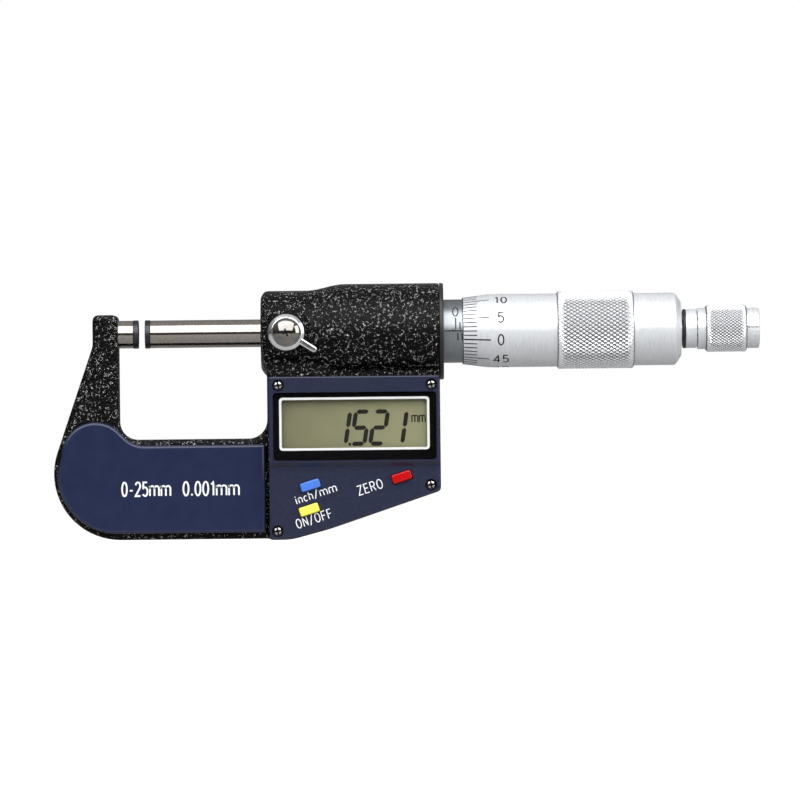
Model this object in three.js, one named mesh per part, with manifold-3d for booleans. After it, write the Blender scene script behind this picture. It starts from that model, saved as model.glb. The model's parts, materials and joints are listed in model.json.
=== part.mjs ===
// Digital outside micrometer, 0 to 25 mm, as an assembly of separate pieces. Millimetres, +Z up.
//
// The pieces are laid out about the measuring axis: X runs from the anvil's face towards the ratchet,
// Z is up and the display faces -Y. The whole assembly is then shifted so that the exported origin is
// on the back grip plate.
import * as THREE from "three";
import { mergeVertices } from "three/addons/utils/BufferGeometryUtils.js";
import Module from "manifold-3d";

const wasm = await Module();
wasm.setup();

// ---- Driving dimensions -------------------------------------------------------------------------

const READING = 1.521; // how far the measuring faces are apart
const SPINDLE_R = 3.25;
const TIP_R = 3.34; // the carbide tips are a little wider than their shafts
const TIP_LENGTH = 1.22;

const ARM_LEFT = -10.7; // the anvil arm of the C-frame
const ARM_RIGHT = -4.7;
const ARM_TOP = 4.6;
const THROAT_RIGHT = 30.1;
const THROAT_BOTTOM = -24.75;
const FRAME_BOTTOM = -48.25;
const FRAME_HALF_DEPTH = 5;
const FRAME_EDGE = 0.9; // rounding of the cast edges

const BOSS_LEFT = 28.8; // the barrel of the casting, round the measuring axis
const BOSS_RIGHT = 70.7;
const BOSS_R = 9.9;
const CHAMBER_BOSS_R = 11.35; // wider over the encoder
const SWELL_START = 39.6;
const SWELL_END = 48.4;

const BAY_HALF_DEPTH = 7.15; // the electronics bay below the barrel
const BAY_WALL = 1.8;

// The lower edge of the bay and of its cover is flat at the left, then rises in two slopes to a corner
// on the right.
const COVER = {
  left: 30.5,
  right: 70.5,
  top: -10.3,
  bottom: -48.35,
  bend: 35.5,
  turn: 44.5,
  turnZ: -45.95,
  cornerZ: -37.25,
};
const BAY_MARGIN = 0.2; // the bay shows this much outside its cover
const COVER_BACK = -7.2;
const DISPLAY_FACE = -9.8; // the display's part of the cover stands above the keys' part
const KEY_FACE = -8.8;
const STEP_Z = -31.4;
const STEP_BEVEL = 1.0;

const WINDOW = { left: 31.5, right: 69.8, top: -14.05, bottom: -30.05 };
const WINDOW_FRONT = -9.5;
const WINDOW_BACK = -8.7;
const VIEW = { left: 33.2, right: 68.1, top: -15.7, bottom: -27.9 }; // the opening behind the window

const KEY = { width: 4.7, height: 2.15, proud: 0.75, tilt: THREE.MathUtils.degToRad(17.5) };
const KEY_CENTRES = {
  unit: [40.1, -35.8],
  power: [39.8, -41.5],
  zero: [61.5, -34.05],
};

const SCREW_CENTRES = [
  [32.8, -12.35],
  [68.65, -12.45],
  [68.4, -35.95],
  [32.4, -46.45],
];

const LOCK_X = 34.9;
const LOCK_SEAT_R = 5.8;
const LOCK_SEAT_Y = -8.4;

const SLEEVE_R = 7.45;
const SLEEVE_LEFT = 69.9;
const SLEEVE_RIGHT = 110;
const THIMBLE_LEFT = 76.12;
const THIMBLE_RIGHT = 127.5;
const THIMBLE_R = 8.6;
const THIMBLE_BORE_R = 7.66;
const BEVEL_END = 82.35;
const KNURL = { left: 98.35, right: 116.35, r: 9.17 };
const THREAD = { left: 80, right: 118.4, r: 3.6 };

const KNOB = { left: 131.4, grip: 133.3, shoulder: 142.9, right: 145.9, r: 5.55, collarR: 4.85, endR: 4.73 };
const RATCHET_BASE = { left: 127.85, right: 131.2, r: 4.55 };

const ROTOR = { left: 51.5, right: 52.3, r: 8.8 };
const KEYWAY = { left: 29.7, right: 59.5, width: 0.9, depth: 0.65, angle: THREE.MathUtils.degToRad(130) };

const BATTERY = { x: 47.5, z: -36, r: 5.8, front: -1.4, back: 4 };
const BATTERY_SEAT = BAY_HALF_DEPTH - 0.7; // the battery cover's flange rests here

const PLATE = { inner: 5.05, outer: 6.85, right: 29.6, top: -26.1, bottom: -46.75 };
// The exported origin, on the back grip plate's face.
const CLAMP_CENTRE = new THREE.Vector3(6, PLATE.outer, -37);

const SEGMENTS = 40;
const FINE = 32;

// ---- Materials ----------------------------------------------------------------------------------

const finish = (color, roughness, metalness) => new THREE.MeshStandardMaterial({ color, roughness, metalness });
const enamel = finish(0x0d0d0e, 0.3, 0.1);
const navy = finish(0x2a3350, 0.45, 0);
const blackPlastic = finish(0x101114, 0.4, 0);
const satin = finish(0xc9ccd0, 0.35, 1);
const steel = finish(0x9c9690, 0.18, 1);
const carbide = finish(0x3a3a3c, 0.4, 0.8);
const chrome = finish(0xe6e6e8, 0.06, 1);
const brass = finish(0xb08a3c, 0.3, 1);
const rubber = finish(0x1a1a1b, 0.8, 0);
const board = finish(0x1f5a38, 0.5, 0);
const glass = finish(0x7f8468, 0.2, 0);
const clear = finish(0xffffff, 0.05, 0);
clear.transparent = true;
clear.opacity = 0.35;
const keyBlue = finish(0x4f86e0, 0.4, 0);
const keyYellow = finish(0xf2e14a, 0.4, 0);
const keyRed = finish(0xd0121a, 0.4, 0);

// ---- Solids -------------------------------------------------------------------------------------

// A closed geometry as a solid, with its faces turned to point out.
function solid(geometry) {
  const bare = geometry.index ? geometry.toNonIndexed() : geometry.clone();
  bare.deleteAttribute("normal");
  bare.deleteAttribute("uv");
  const merged = mergeVertices(bare, 1e-4);
  const index = merged.index.array;
  const triangles = [];
  for (let i = 0; i < index.length; i += 3) {
    const [a, b, c] = index.slice(i, i + 3);
    if (a !== b && b !== c && c !== a) triangles.push(a, b, c);
  }
  const made = (order) =>
    new wasm.Manifold(
      new wasm.Mesh({
        numProp: 3,
        vertProperties: merged.attributes.position.array,
        triVerts: new Uint32Array(order),
      }),
    );
  const first = made(triangles);
  return first.volume() > 0 ? first : made(triangles.reverse());
}

function geometryOf(body) {
  const mesh = body.getMesh();
  const points = new Float32Array(mesh.numVert * 3);
  for (let i = 0; i < mesh.numVert; i++) {
    const at = i * mesh.numProp;
    points.set(mesh.vertProperties.subarray(at, at + 3), i * 3);
  }
  const geometry = new THREE.BufferGeometry();
  geometry.setAttribute("position", new THREE.BufferAttribute(points, 3));
  geometry.setIndex(new THREE.BufferAttribute(mesh.triVerts, 1));
  geometry.computeVertexNormals();
  return geometry;
}

// A profile of [x, radius] points turned round the measuring axis. One with no point on the axis is a ring.
function turned(profile, segments = SEGMENTS) {
  const points = profile.map(([x, r]) => new THREE.Vector2(r, x));
  if (profile[0][1] > 0) points.push(points[0].clone());
  return solid(new THREE.LatheGeometry(points, segments).rotateZ(-Math.PI / 2));
}

// The same profile, with its x running along +Y from the point (x, z).
function turnedAcross(x, z, profile, segments = FINE) {
  const points = profile.map(([y, r]) => new THREE.Vector2(r, y));
  if (profile[0][1] > 0) points.push(points[0].clone());
  return solid(new THREE.LatheGeometry(points, segments).translate(x, 0, z));
}

const tube = (left, right, outer, inner, segments) =>
  turned([[left, inner], [right, inner], [right, outer], [left, outer]], segments);
const rod = (left, right, r, segments) => turned([[left, 0], [left, r], [right, r], [right, 0]], segments);
const pin = (x, z, front, back, r, segments) =>
  turnedAcross(x, z, [[front, 0], [front, r], [back, r], [back, 0]], segments);
const ring = (x, z, front, back, outer, inner, segments) =>
  turnedAcross(x, z, [[front, inner], [front, outer], [back, outer], [back, inner]], segments);

// A box from its sides, which can then be turned about the measuring axis, display side upwards.
function box(left, right, front, back, bottom, top, angle = 0) {
  const geometry = new THREE.BoxGeometry(right - left, back - front, top - bottom);
  geometry.translate((left + right) / 2, (front + back) / 2, (bottom + top) / 2);
  return solid(geometry.rotateX(-angle));
}

// An outline in X and Z from [x, z, corner radius] points taken anticlockwise.
function outline(corners) {
  const shape = new THREE.Shape();
  corners.forEach(([x, z, r], i) => {
    const here = new THREE.Vector2(x, z);
    if (!r) {
      if (i) shape.lineTo(x, z);
      else shape.moveTo(x, z);
      return;
    }
    const [px, pz] = corners[(i + corners.length - 1) % corners.length];
    const [nx, nz] = corners[(i + 1) % corners.length];
    const back = new THREE.Vector2(px, pz).sub(here).normalize();
    const ahead = new THREE.Vector2(nx, nz).sub(here).normalize();
    const half = Math.acos(back.dot(ahead)) / 2;
    const start = here.clone().addScaledVector(back, r / Math.tan(half));
    const end = here.clone().addScaledVector(ahead, r / Math.tan(half));
    const centre = here.clone().addScaledVector(back.clone().add(ahead).normalize(), r / Math.sin(half));
    if (i) shape.lineTo(start.x, start.y);
    else shape.moveTo(start.x, start.y);
    const angle = (p) => Math.atan2(p.y - centre.y, p.x - centre.x);
    const clockwise = back.cross(ahead) > 0;
    shape.absarc(centre.x, centre.y, r, angle(start), angle(end), clockwise);
  });
  shape.closePath();
  return shape;
}

// An outline given depth between two Y levels, its edges bevelled inside its own outline.
function slab(shape, front, back, { bevel = 0, curveSegments = 6, bevelSegments = 2 } = {}) {
  const geometry = new THREE.ExtrudeGeometry(shape, {
    depth: back - front - 2 * bevel,
    curveSegments,
    bevelEnabled: bevel > 0,
    bevelThickness: bevel,
    bevelSize: bevel,
    bevelOffset: -bevel,
    bevelSegments,
  });
  return solid(geometry.rotateX(Math.PI / 2).translate(0, back - bevel, 0));
}

// A rectangle turned about its centre, given depth between two Y levels.
function tiltedBlock([x, z], width, height, front, back, tilt) {
  const geometry = new THREE.BoxGeometry(width, back - front, height);
  return solid(geometry.rotateY(-tilt).translate(x, (front + back) / 2, z));
}

const joined = (bodies) => bodies.reduce((a, b) => a.add(b));
const cut = (body, ...tools) => tools.reduce((a, b) => a.subtract(b), body);

// ---- The assembly -------------------------------------------------------------------------------

const micrometer = new THREE.Group();
micrometer.name = "outside_micrometer";
micrometer.position.copy(CLAMP_CENTRE).negate();

function add(name, body, material) {
  const mesh = new THREE.Mesh(geometryOf(body), material);
  mesh.name = name;
  micrometer.add(mesh);
}

// ---- Frame, anvil and grip plates ---------------------------------------------------------------

const armSlope = Math.tan(THREE.MathUtils.degToRad(18.9));
const armBendZ = -2.67;

function castBarrel() {
  const swell = Array.from({ length: 5 }, (_, i) => {
    const t = (i + 1) / 6;
    const eased = t * t * (3 - 2 * t);
    return [SWELL_START + t * (SWELL_END - SWELL_START), BOSS_R + eased * (CHAMBER_BOSS_R - BOSS_R)];
  });
  return turned([
    [BOSS_LEFT, 0],
    [BOSS_LEFT, BOSS_R - 1.5],
    [BOSS_LEFT + 0.7, BOSS_R - 0.35],
    [BOSS_LEFT + 1.2, BOSS_R],
    [SWELL_START, BOSS_R],
    ...swell,
    [SWELL_END, CHAMBER_BOSS_R],
    [BOSS_RIGHT, CHAMBER_BOSS_R],
    [BOSS_RIGHT, 0],
  ]);
}

// The outline of the cover up to a level, or one inside it by an inset, or outside it where the inset
// is negative.
function coverOutline(inset, top) {
  const slope = Math.atan2(COVER.cornerZ - COVER.turnZ, COVER.right - COVER.turn);
  return outline([
    [COVER.left + inset, top, 0],
    [COVER.left + inset, COVER.bottom + inset, 0.6],
    [COVER.bend - 0.14 * inset, COVER.bottom + inset, 14],
    [COVER.turn - 0.3 * inset, COVER.turnZ + 0.95 * inset, 60],
    [COVER.right - inset, COVER.cornerZ + inset / Math.cos(slope) - inset * Math.tan(slope), 1],
    [COVER.right - inset, top, 0],
  ]);
}

function frame() {
  const cornerX = ARM_LEFT - (armBendZ - FRAME_BOTTOM) * armSlope;
  const bow = outline([
    [ARM_LEFT, ARM_TOP, 1.3],
    [ARM_LEFT, armBendZ, 4],
    [cornerX, FRAME_BOTTOM, 15.6],
    [COVER.bend, FRAME_BOTTOM, 0],
    [COVER.bend, -2, 0],
    [THROAT_RIGHT, -2, 0],
    [THROAT_RIGHT, THROAT_BOTTOM, 4.4],
    [ARM_RIGHT, THROAT_BOTTOM, 4.2],
    [ARM_RIGHT, ARM_TOP, 1.3],
  ]);
  const bayBack = BAY_HALF_DEPTH - BAY_WALL;
  const cavity = slab(coverOutline(BAY_WALL - BAY_MARGIN, -12.4), -BAY_HALF_DEPTH - 1, bayBack);
  const middleOutline = coverOutline(BAY_WALL / 2 - BAY_MARGIN, -11);
  const wallMiddle = slab(middleOutline, -BAY_HALF_DEPTH, bayBack + BAY_WALL / 2);
  const posts = joined(SCREW_CENTRES.map(([x, z]) => pin(x, z, -BAY_HALF_DEPTH, BAY_HALF_DEPTH, 1.9, 16)));
  const casting = joined([
    slab(bow, -FRAME_HALF_DEPTH, FRAME_HALF_DEPTH, { bevel: FRAME_EDGE }),
    slab(coverOutline(-BAY_MARGIN, 0), -BAY_HALF_DEPTH, BAY_HALF_DEPTH, { bevel: 0.4, bevelSegments: 1 }),
  ]).subtract(cavity).add(posts.intersect(wallMiddle)).add(castBarrel());
  return cut(
    casting,
    rod(ARM_RIGHT - 5.2, ARM_RIGHT + 1, SPINDLE_R + 0.05, FINE),
    rod(BOSS_LEFT - 1, 50, SPINDLE_R + 0.15, FINE),
    rod(49.5, BOSS_RIGHT + 1, 9.4),
    pin(LOCK_X, 0, -BOSS_R - 1, 0, 2.15),
    pin(LOCK_X, 0, -BOSS_R - 2, LOCK_SEAT_Y, LOCK_SEAT_R),
    box(49.3, 51.3, -1.5, 1.5, -13, -8.5),
    pin(BATTERY.x, BATTERY.z, 0, BAY_HALF_DEPTH + 1, 6.9, SEGMENTS),
    pin(BATTERY.x, BATTERY.z, BATTERY_SEAT, BAY_HALF_DEPTH + 1, 7.9, SEGMENTS),
    ...SCREW_CENTRES.map(([x, z]) => pin(x, z, -BAY_HALF_DEPTH - 1, -1.5, 0.85, 16)),
  );
}

add("frame", frame(), enamel);

add("anvil", rod(ARM_RIGHT - 5, -TIP_LENGTH, SPINDLE_R, FINE), steel);
add("anvil_tip", turned([
  [-TIP_LENGTH, 0],
  [-TIP_LENGTH, TIP_R],
  [-0.1, TIP_R],
  [0, TIP_R - 0.1],
  [0, 0],
], FINE), carbide);

// The plates follow the bow of the frame, with a round lobe at the foot of the anvil arm.
function gripPlate(front, back) {
  const lobe = { x: -10.2, z: -28.4, r: 7.9 };
  const corner = { x: -5.1, z: -32.65, r: 14.1 };
  const shape = new THREE.Shape();
  const shoulder = 2.6;
  const rise = PLATE.top - (lobe.z + lobe.r * Math.SQRT1_2);
  const footX = lobe.x + lobe.r * Math.SQRT1_2 - rise;
  shape.moveTo(PLATE.right, PLATE.top);
  shape.lineTo(footX + shoulder, PLATE.top);
  const cornerCut = shoulder * Math.SQRT1_2;
  shape.quadraticCurveTo(footX, PLATE.top, footX - cornerCut, PLATE.top + cornerCut);
  shape.absarc(lobe.x, lobe.z, lobe.r, Math.PI / 4, Math.PI, false);
  shape.lineTo(corner.x - corner.r, corner.z);
  shape.absarc(corner.x, corner.z, corner.r, Math.PI, 1.5 * Math.PI, false);
  shape.lineTo(PLATE.right, PLATE.bottom);
  shape.closePath();
  return slab(shape, front, back, { bevel: 0.35, curveSegments: 8, bevelSegments: 1 });
}

add("grip_plate_front", gripPlate(-PLATE.outer, -PLATE.inner), navy);
add("grip_plate_back", gripPlate(PLATE.inner, PLATE.outer), navy);

// ---- Display cover, window and keys -------------------------------------------------------------

function displayCover() {
  // Above the step the cover keeps its full depth; a wedge and a block take the keys' part down.
  const belowStep = new THREE.Shape();
  belowStep.moveTo(DISPLAY_FACE - 1, STEP_Z + STEP_BEVEL + 1);
  belowStep.lineTo(DISPLAY_FACE, STEP_Z + STEP_BEVEL);
  belowStep.lineTo(KEY_FACE, STEP_Z);
  belowStep.lineTo(KEY_FACE, COVER.bottom - 1);
  belowStep.lineTo(DISPLAY_FACE - 1, COVER.bottom - 1);
  belowStep.closePath();
  const width = COVER.right - COVER.left + 2;
  const lowered = new THREE.ExtrudeGeometry(belowStep, { depth: width, bevelEnabled: false });
  // The shape's x is Y, its y is Z, and its depth is X.
  lowered.applyMatrix4(new THREE.Matrix4().makeBasis(
    new THREE.Vector3(0, 1, 0),
    new THREE.Vector3(0, 0, 1),
    new THREE.Vector3(1, 0, 0),
  )).translate(COVER.left - 1, 0, 0);
  const faceAt = (z) => (z > STEP_Z ? DISPLAY_FACE : KEY_FACE);
  return cut(
    slab(coverOutline(0, COVER.top), DISPLAY_FACE, COVER_BACK),
    solid(lowered),
    box(WINDOW.left, WINDOW.right, DISPLAY_FACE - 1, WINDOW_BACK + 0.05, WINDOW.bottom, WINDOW.top),
    box(VIEW.left, VIEW.right, DISPLAY_FACE, COVER_BACK + 1, VIEW.bottom, VIEW.top),
    ...Object.values(KEY_CENTRES).map((at) =>
      tiltedBlock(at, KEY.width + 0.3, KEY.height + 0.3, DISPLAY_FACE, COVER_BACK + 1, KEY.tilt)),
    ...SCREW_CENTRES.flatMap(([x, z]) => [
      pin(x, z, DISPLAY_FACE - 1, COVER_BACK + 1, 0.95, 16),
      pin(x, z, DISPLAY_FACE - 1, faceAt(z) + 1.1, 1.4, 20),
    ]),
  );
}

add("display_cover", displayCover(), navy);
add("display_window", box(WINDOW.left + 0.1, WINDOW.right - 0.1, WINDOW_FRONT, WINDOW_BACK,
  WINDOW.bottom + 0.1, WINDOW.top - 0.1), clear);
const lcdGlass = box(34.8, 66.6, -6.95, -4.95, -29.6, -14.6);
const lcdLedge = box(32.4, 68.6, -6.95, -4.95, -29.2, -15.4);
add("lcd_panel", lcdGlass.add(lcdLedge), glass);
add("contact_strip_upper", box(34.9, 66.5, -4.9, -3.6, -16.9, -15), rubber);
add("contact_strip_lower", box(34.9, 66.5, -4.9, -3.6, -29.2, -27.3), rubber);

function mainBoard() {
  const shape = outline([
    [32.6, -14.6, 0.3],
    [32.6, -43.6, 0.3],
    [36, -45.8, 0.3],
    [37.3, -45.8, 3],
    [44.3, -43.8, 20],
    [66.2, -36.4, 0.3],
    [66.2, -33.8, 0.3],
    [68.5, -33.8, 0.3],
    [68.5, -14.6, 0.3],
  ]);
  return slab(shape, -3.55, -2.55, { curveSegments: 3 });
}

add("main_board", mainBoard(), board);

function key(at) {
  return joined([
    tiltedBlock(at, KEY.width, KEY.height, KEY_FACE - KEY.proud, -6.5, KEY.tilt),
    tiltedBlock(at, KEY.width + 1.1, KEY.height + 1.1, -6.9, -6.3, KEY.tilt),
    pin(at[0], at[1], -6.6, -4.7, 0.8, 12),
  ]);
}

const keyMaterials = { unit: keyBlue, power: keyYellow, zero: keyRed };
for (const [name, at] of Object.entries(KEY_CENTRES)) {
  add(name + "_button", key(at), keyMaterials[name]);
  add(name + "_switch", joined([
    box(at[0] - 1.5, at[0] + 1.5, -3.95, -3.6, at[1] - 1.5, at[1] + 1.5),
    pin(at[0], at[1], -4.15, -3.7, 0.9, 12),
  ]), steel);
}

// A pan-head screw from its head's front face, with a cross recess.
function crossScrew([x, z], head) {
  const recess = joined([
    box(x - 0.75, x + 0.75, head - 1, head + 0.45, z - 0.16, z + 0.16),
    box(x - 0.16, x + 0.16, head - 1, head + 0.45, z - 0.75, z + 0.75),
  ]);
  return cut(
    turnedAcross(x, z, [
      [head, 0],
      [head, 0.85],
      [head + 0.25, 1.15],
      [head + 0.75, 1.15],
      [head + 0.75, 0.7],
      [-1.9, 0.7],
      [-1.9, 0],
    ], 20),
    recess,
  );
}

SCREW_CENTRES.forEach((at, i) => {
  add("cover_screw_" + (i + 1), crossScrew(at, (at[1] > STEP_Z ? DISPLAY_FACE : KEY_FACE) + 0.3), steel);
});

// ---- Battery ------------------------------------------------------------------------------------

add("battery", turnedAcross(BATTERY.x, BATTERY.z, [
  [BATTERY.front, 0],
  [BATTERY.front, BATTERY.r - 0.9],
  [BATTERY.front + 0.5, BATTERY.r - 0.6],
  [BATTERY.front + 0.5, BATTERY.r],
  [BATTERY.back, BATTERY.r],
  [BATTERY.back, 0],
]), steel);

// Each contact is a strip bent between the board and the battery.
function batterySpring() {
  const { x, z } = BATTERY;
  return joined([
    box(x - 5, x + 1, -2.5, -2.3, z - 1.2, z + 1.2),
    box(x - 0.2, x + 1, -2.4, -1.45, z - 1.2, z + 1.2),
  ]);
}

function batteryClip() {
  const { x, z, r } = BATTERY;
  return joined([
    box(x + r + 0.3, x + r + 0.6, -2.4, 3, z - 1.8, z + 1.8),
    box(x + r + 0.3, x + r + 2.2, -2.5, -2.2, z - 1.8, z + 1.8),
  ]);
}

add("battery_contact_negative", batterySpring(), brass);
add("battery_contact_positive", batteryClip(), brass);

add("battery_seal", ring(BATTERY.x, BATTERY.z, 5.4, 6.2, 6.75, 6.15, SEGMENTS), rubber);
add("battery_cover", cut(
  turnedAcross(BATTERY.x, BATTERY.z, [
    [4.3, 0],
    [4.3, 6],
    [BATTERY_SEAT + 0.05, 6],
    [BATTERY_SEAT + 0.05, 7.7],
    [BATTERY_SEAT + 0.8, 7.7],
    [BATTERY_SEAT + 1.1, 7.4],
    [BATTERY_SEAT + 1.1, 0],
  ], SEGMENTS),
  box(BATTERY.x - 4.8, BATTERY.x + 4.8, BATTERY_SEAT + 0.2, 8, BATTERY.z - 0.8, BATTERY.z + 0.8),
), blackPlastic);

// ---- Encoder ------------------------------------------------------------------------------------

add("encoder_stator", tube(50.1, 51.1, 9.2, 4.3), board);
add("encoder_rotor", tube(ROTOR.left, ROTOR.right, ROTOR.r, 4.2), board);

function rotorHub() {
  const hub = turned([
    [ROTOR.left, 3.55],
    [58, 3.55],
    [58, 5.1],
    [ROTOR.right + 0.05, 5.1],
    [ROTOR.right + 0.05, 4.15],
    [ROTOR.left, 4.15],
  ], FINE);
  const half = KEYWAY.width / 2 - 0.12;
  const tip = -SPINDLE_R + KEYWAY.depth - 0.15;
  return hub.add(box(54, 57, -4, tip, -half, half, KEYWAY.angle));
}

add("rotor_hub", rotorHub(), brass);
add("rotor_bearing", tube(53.6, 57.6, 9.2, 5.3), brass);

// A washer in three waves that presses the rotor towards the stator.
function waveWasher() {
  const rise = 0.3;
  const section = [[58.6, 3.7], [58.8, 3.7], [58.8, 5], [58.6, 5], [58.6, 3.7]];
  const geometry = new THREE.LatheGeometry(section.map(([x, r]) => new THREE.Vector2(r, x)), 36);
  const points = geometry.rotateZ(-Math.PI / 2).attributes.position;
  for (let i = 0; i < points.count; i++) {
    const wave = Math.cos(3 * Math.atan2(points.getZ(i), points.getY(i)));
    points.setX(i, points.getX(i) + rise * (1 + wave));
  }
  return solid(geometry);
}

add("rotor_spring", waveWasher(), steel);
add("encoder_cover", turned([
  [70.75, 7.6],
  [70.75, CHAMBER_BOSS_R],
  [71.3, CHAMBER_BOSS_R],
  [71.7, CHAMBER_BOSS_R - 0.4],
  [71.7, 7.6],
]), blackPlastic);

// The ribbon runs from the stator down through the slot under the chamber, and is folded onto the back
// of the board.
function flexCable() {
  const left = 49.8;
  const right = 50.02;
  return joined([
    box(left, right, -1.2, 1.2, -16.5, -6.5),
    box(left, right, -2.5, 0, -16.5, -14),
    box(left, 52.5, -2.5, -2.3, -16.5, -14),
  ]);
}

add("flex_cable", flexCable(), brass);

// ---- Sleeves ------------------------------------------------------------------------------------

function innerSleeve() {
  const body = turned([
    [60, 3.95],
    [104, 3.95],
    [104, 3.75],
    [117, 3.75],
    [117, 5.6],
    [109, 5.95],
    [109, 6.9],
    [64, 6.9],
    [64, 9.3],
    [60, 9.3],
  ]);
  const slits = [0, 1, 2].map((i) => box(106, 118, -8, 0, -0.35, 0.35, (i * 2 * Math.PI) / 3));
  return cut(body, ...slits);
}

add("inner_sleeve", innerSleeve(), steel);
add("adjusting_nut", tube(111, 116.5, 7.1, 6.05), steel);
add("sleeve", cut(tube(SLEEVE_LEFT, SLEEVE_RIGHT, SLEEVE_R, 7), pin(74, 0, 0, SLEEVE_R + 1, 0.8, 16)), satin);

// ---- Spindle and thimble ------------------------------------------------------------------------

function spindle() {
  const start = READING + TIP_LENGTH;
  const shaft = turned([
    [start, 0],
    [start, SPINDLE_R],
    [THREAD.left - 1.4, SPINDLE_R],
    [THREAD.left - 1.4, 3],
    [THREAD.left, 3],
    [THREAD.left + 0.5, THREAD.r],
    [THREAD.right, THREAD.r],
    [THREAD.right, 3.45],
    [120, 3.45],
    [125, 3],
    [125, 1.45],
    [113, 1.45],
    [113, 0],
  ], FINE);
  const { left, right, width, depth, angle } = KEYWAY;
  return cut(shaft, box(left, right, -SPINDLE_R - 1, -SPINDLE_R + depth, -width / 2, width / 2, angle));
}

function thimble() {
  return turned([
    [THIMBLE_LEFT, THIMBLE_BORE_R],
    [119.6, THIMBLE_BORE_R],
    [119.6, 3.55],
    [120, 3.55],
    [125.4, 3.06],
    [THIMBLE_RIGHT, 3.06],
    [THIMBLE_RIGHT, 6.4],
    [126.35, 8.1],
    [125.8, 8.5],
    [KNURL.right, 8.5],
    [KNURL.right, KNURL.r - 0.45],
    [KNURL.right - 0.45, KNURL.r],
    [KNURL.left + 0.45, KNURL.r],
    [KNURL.left, KNURL.r - 0.45],
    [KNURL.left, THIMBLE_R],
    [BEVEL_END, THIMBLE_R],
    [THIMBLE_LEFT, THIMBLE_BORE_R + 0.15],
  ], 48);
}

add("spindle", spindle(), steel);
add("spindle_tip", turned([
  [READING, 0],
  [READING, TIP_R - 0.1],
  [READING + 0.1, TIP_R],
  [READING + TIP_LENGTH, TIP_R],
  [READING + TIP_LENGTH, 0],
], FINE), carbide);
add("thimble", thimble(), satin);

// ---- Ratchet stop -------------------------------------------------------------------------------

// Saw-shaped face teeth on a ring: each rises along the way round and drops at once. They stand up from
// the level towards the given side, and their feet are sunk behind it.
function faceTeeth(level, side, inner, outer, count) {
  const crest = level + 0.6 * side;
  const foot = level - 0.3 * side;
  const positions = [];
  const triangle = (a, b, c) => positions.push(...a, ...b, ...c);
  const quad = (a, b, c, d) => {
    triangle(a, b, c);
    triangle(a, c, d);
  };
  const inAt = (x, angle) => [x, inner * Math.cos(angle), inner * Math.sin(angle)];
  const outAt = (x, angle) => [x, outer * Math.cos(angle), outer * Math.sin(angle)];
  for (let i = 0; i < count; i++) {
    const start = (i * 2 * Math.PI) / count;
    const end = ((i + 1) * 2 * Math.PI) / count;
    quad(inAt(level, start), outAt(level, start), outAt(crest, end), inAt(crest, end));
    quad(inAt(crest, end), outAt(crest, end), outAt(level, end), inAt(level, end));
    quad(inAt(foot, start), inAt(foot, end), outAt(foot, end), outAt(foot, start));
    triangle(outAt(level, start), outAt(level, end), outAt(crest, end));
    triangle(inAt(level, start), inAt(crest, end), inAt(level, end));
    quad(outAt(foot, start), outAt(foot, end), outAt(level, end), outAt(level, start));
    quad(inAt(foot, start), inAt(level, start), inAt(level, end), inAt(foot, end));
  }
  const geometry = new THREE.BufferGeometry();
  geometry.setAttribute("position", new THREE.Float32BufferAttribute(positions, 3));
  return solid(geometry);
}

const { left: baseLeft, right: baseRight, r: baseR } = RATCHET_BASE;
add("ratchet_base", joined([
  turned([
    [baseLeft, 1.35],
    [baseRight, 1.35],
    [baseRight, baseR],
    [baseLeft + 0.95, baseR],
    [baseLeft, baseR - 0.45],
  ], FINE),
  faceTeeth(baseRight, 1, 2.3, 3.75, 12),
]), satin);

add("ratchet_screw", cut(
  turned([
    [114, 0],
    [114, 1.2],
    [132.6, 1.2],
    [132.6, 1.85],
    [142.95, 1.85],
    [142.95, 2.9],
    [143.9, 2.9],
    [144.3, 2.5],
    [144.3, 0],
  ], FINE),
  box(143.8, 145, -3, 3, -0.35, 0.35),
), steel);

add("ratchet_knob", turned([
  [KNOB.left, 4.1],
  [139.1, 4.1],
  [139.1, 2.05],
  [142.8, 2.05],
  [142.8, 3.3],
  [KNOB.right, 3.3],
  [KNOB.right, KNOB.endR - 0.35],
  [KNOB.right - 0.35, KNOB.endR],
  [KNOB.shoulder, KNOB.endR],
  [KNOB.shoulder, KNOB.r - 0.35],
  [KNOB.shoulder - 0.4, KNOB.r],
  [KNOB.grip + 0.4, KNOB.r],
  [KNOB.grip, KNOB.r - 0.35],
  [KNOB.grip, KNOB.collarR],
  [KNOB.left, KNOB.collarR],
]), satin);

const slideWheelRing = tube(132.7, 134.6, 3.95, 2.05, FINE);
const slideWheelTeeth = faceTeeth(132.7, -1, 2.3, 3.75, 12);
add("ratchet_slide_wheel", joined([slideWheelRing, slideWheelTeeth]), steel);

// A coil spring along the axis with plain ends.
function coilSpring(left, right, r, wire, turns) {
  class Helix extends THREE.Curve {
    getPoint(t, target = new THREE.Vector3()) {
      const angle = 2 * Math.PI * turns * t;
      return target.set(left + t * (right - left), r * Math.cos(angle), r * Math.sin(angle));
    }
  }
  const section = new THREE.Shape();
  section.absarc(0, 0, wire / 2, 0, 2 * Math.PI, false);
  return solid(new THREE.ExtrudeGeometry(section, {
    steps: turns * 14,
    curveSegments: 6,
    extrudePath: new Helix(),
  }));
}

add("ratchet_spring", coilSpring(134.95, 138.75, 3, 0.5, 4), steel);

// ---- Spindle lock -------------------------------------------------------------------------------

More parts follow.
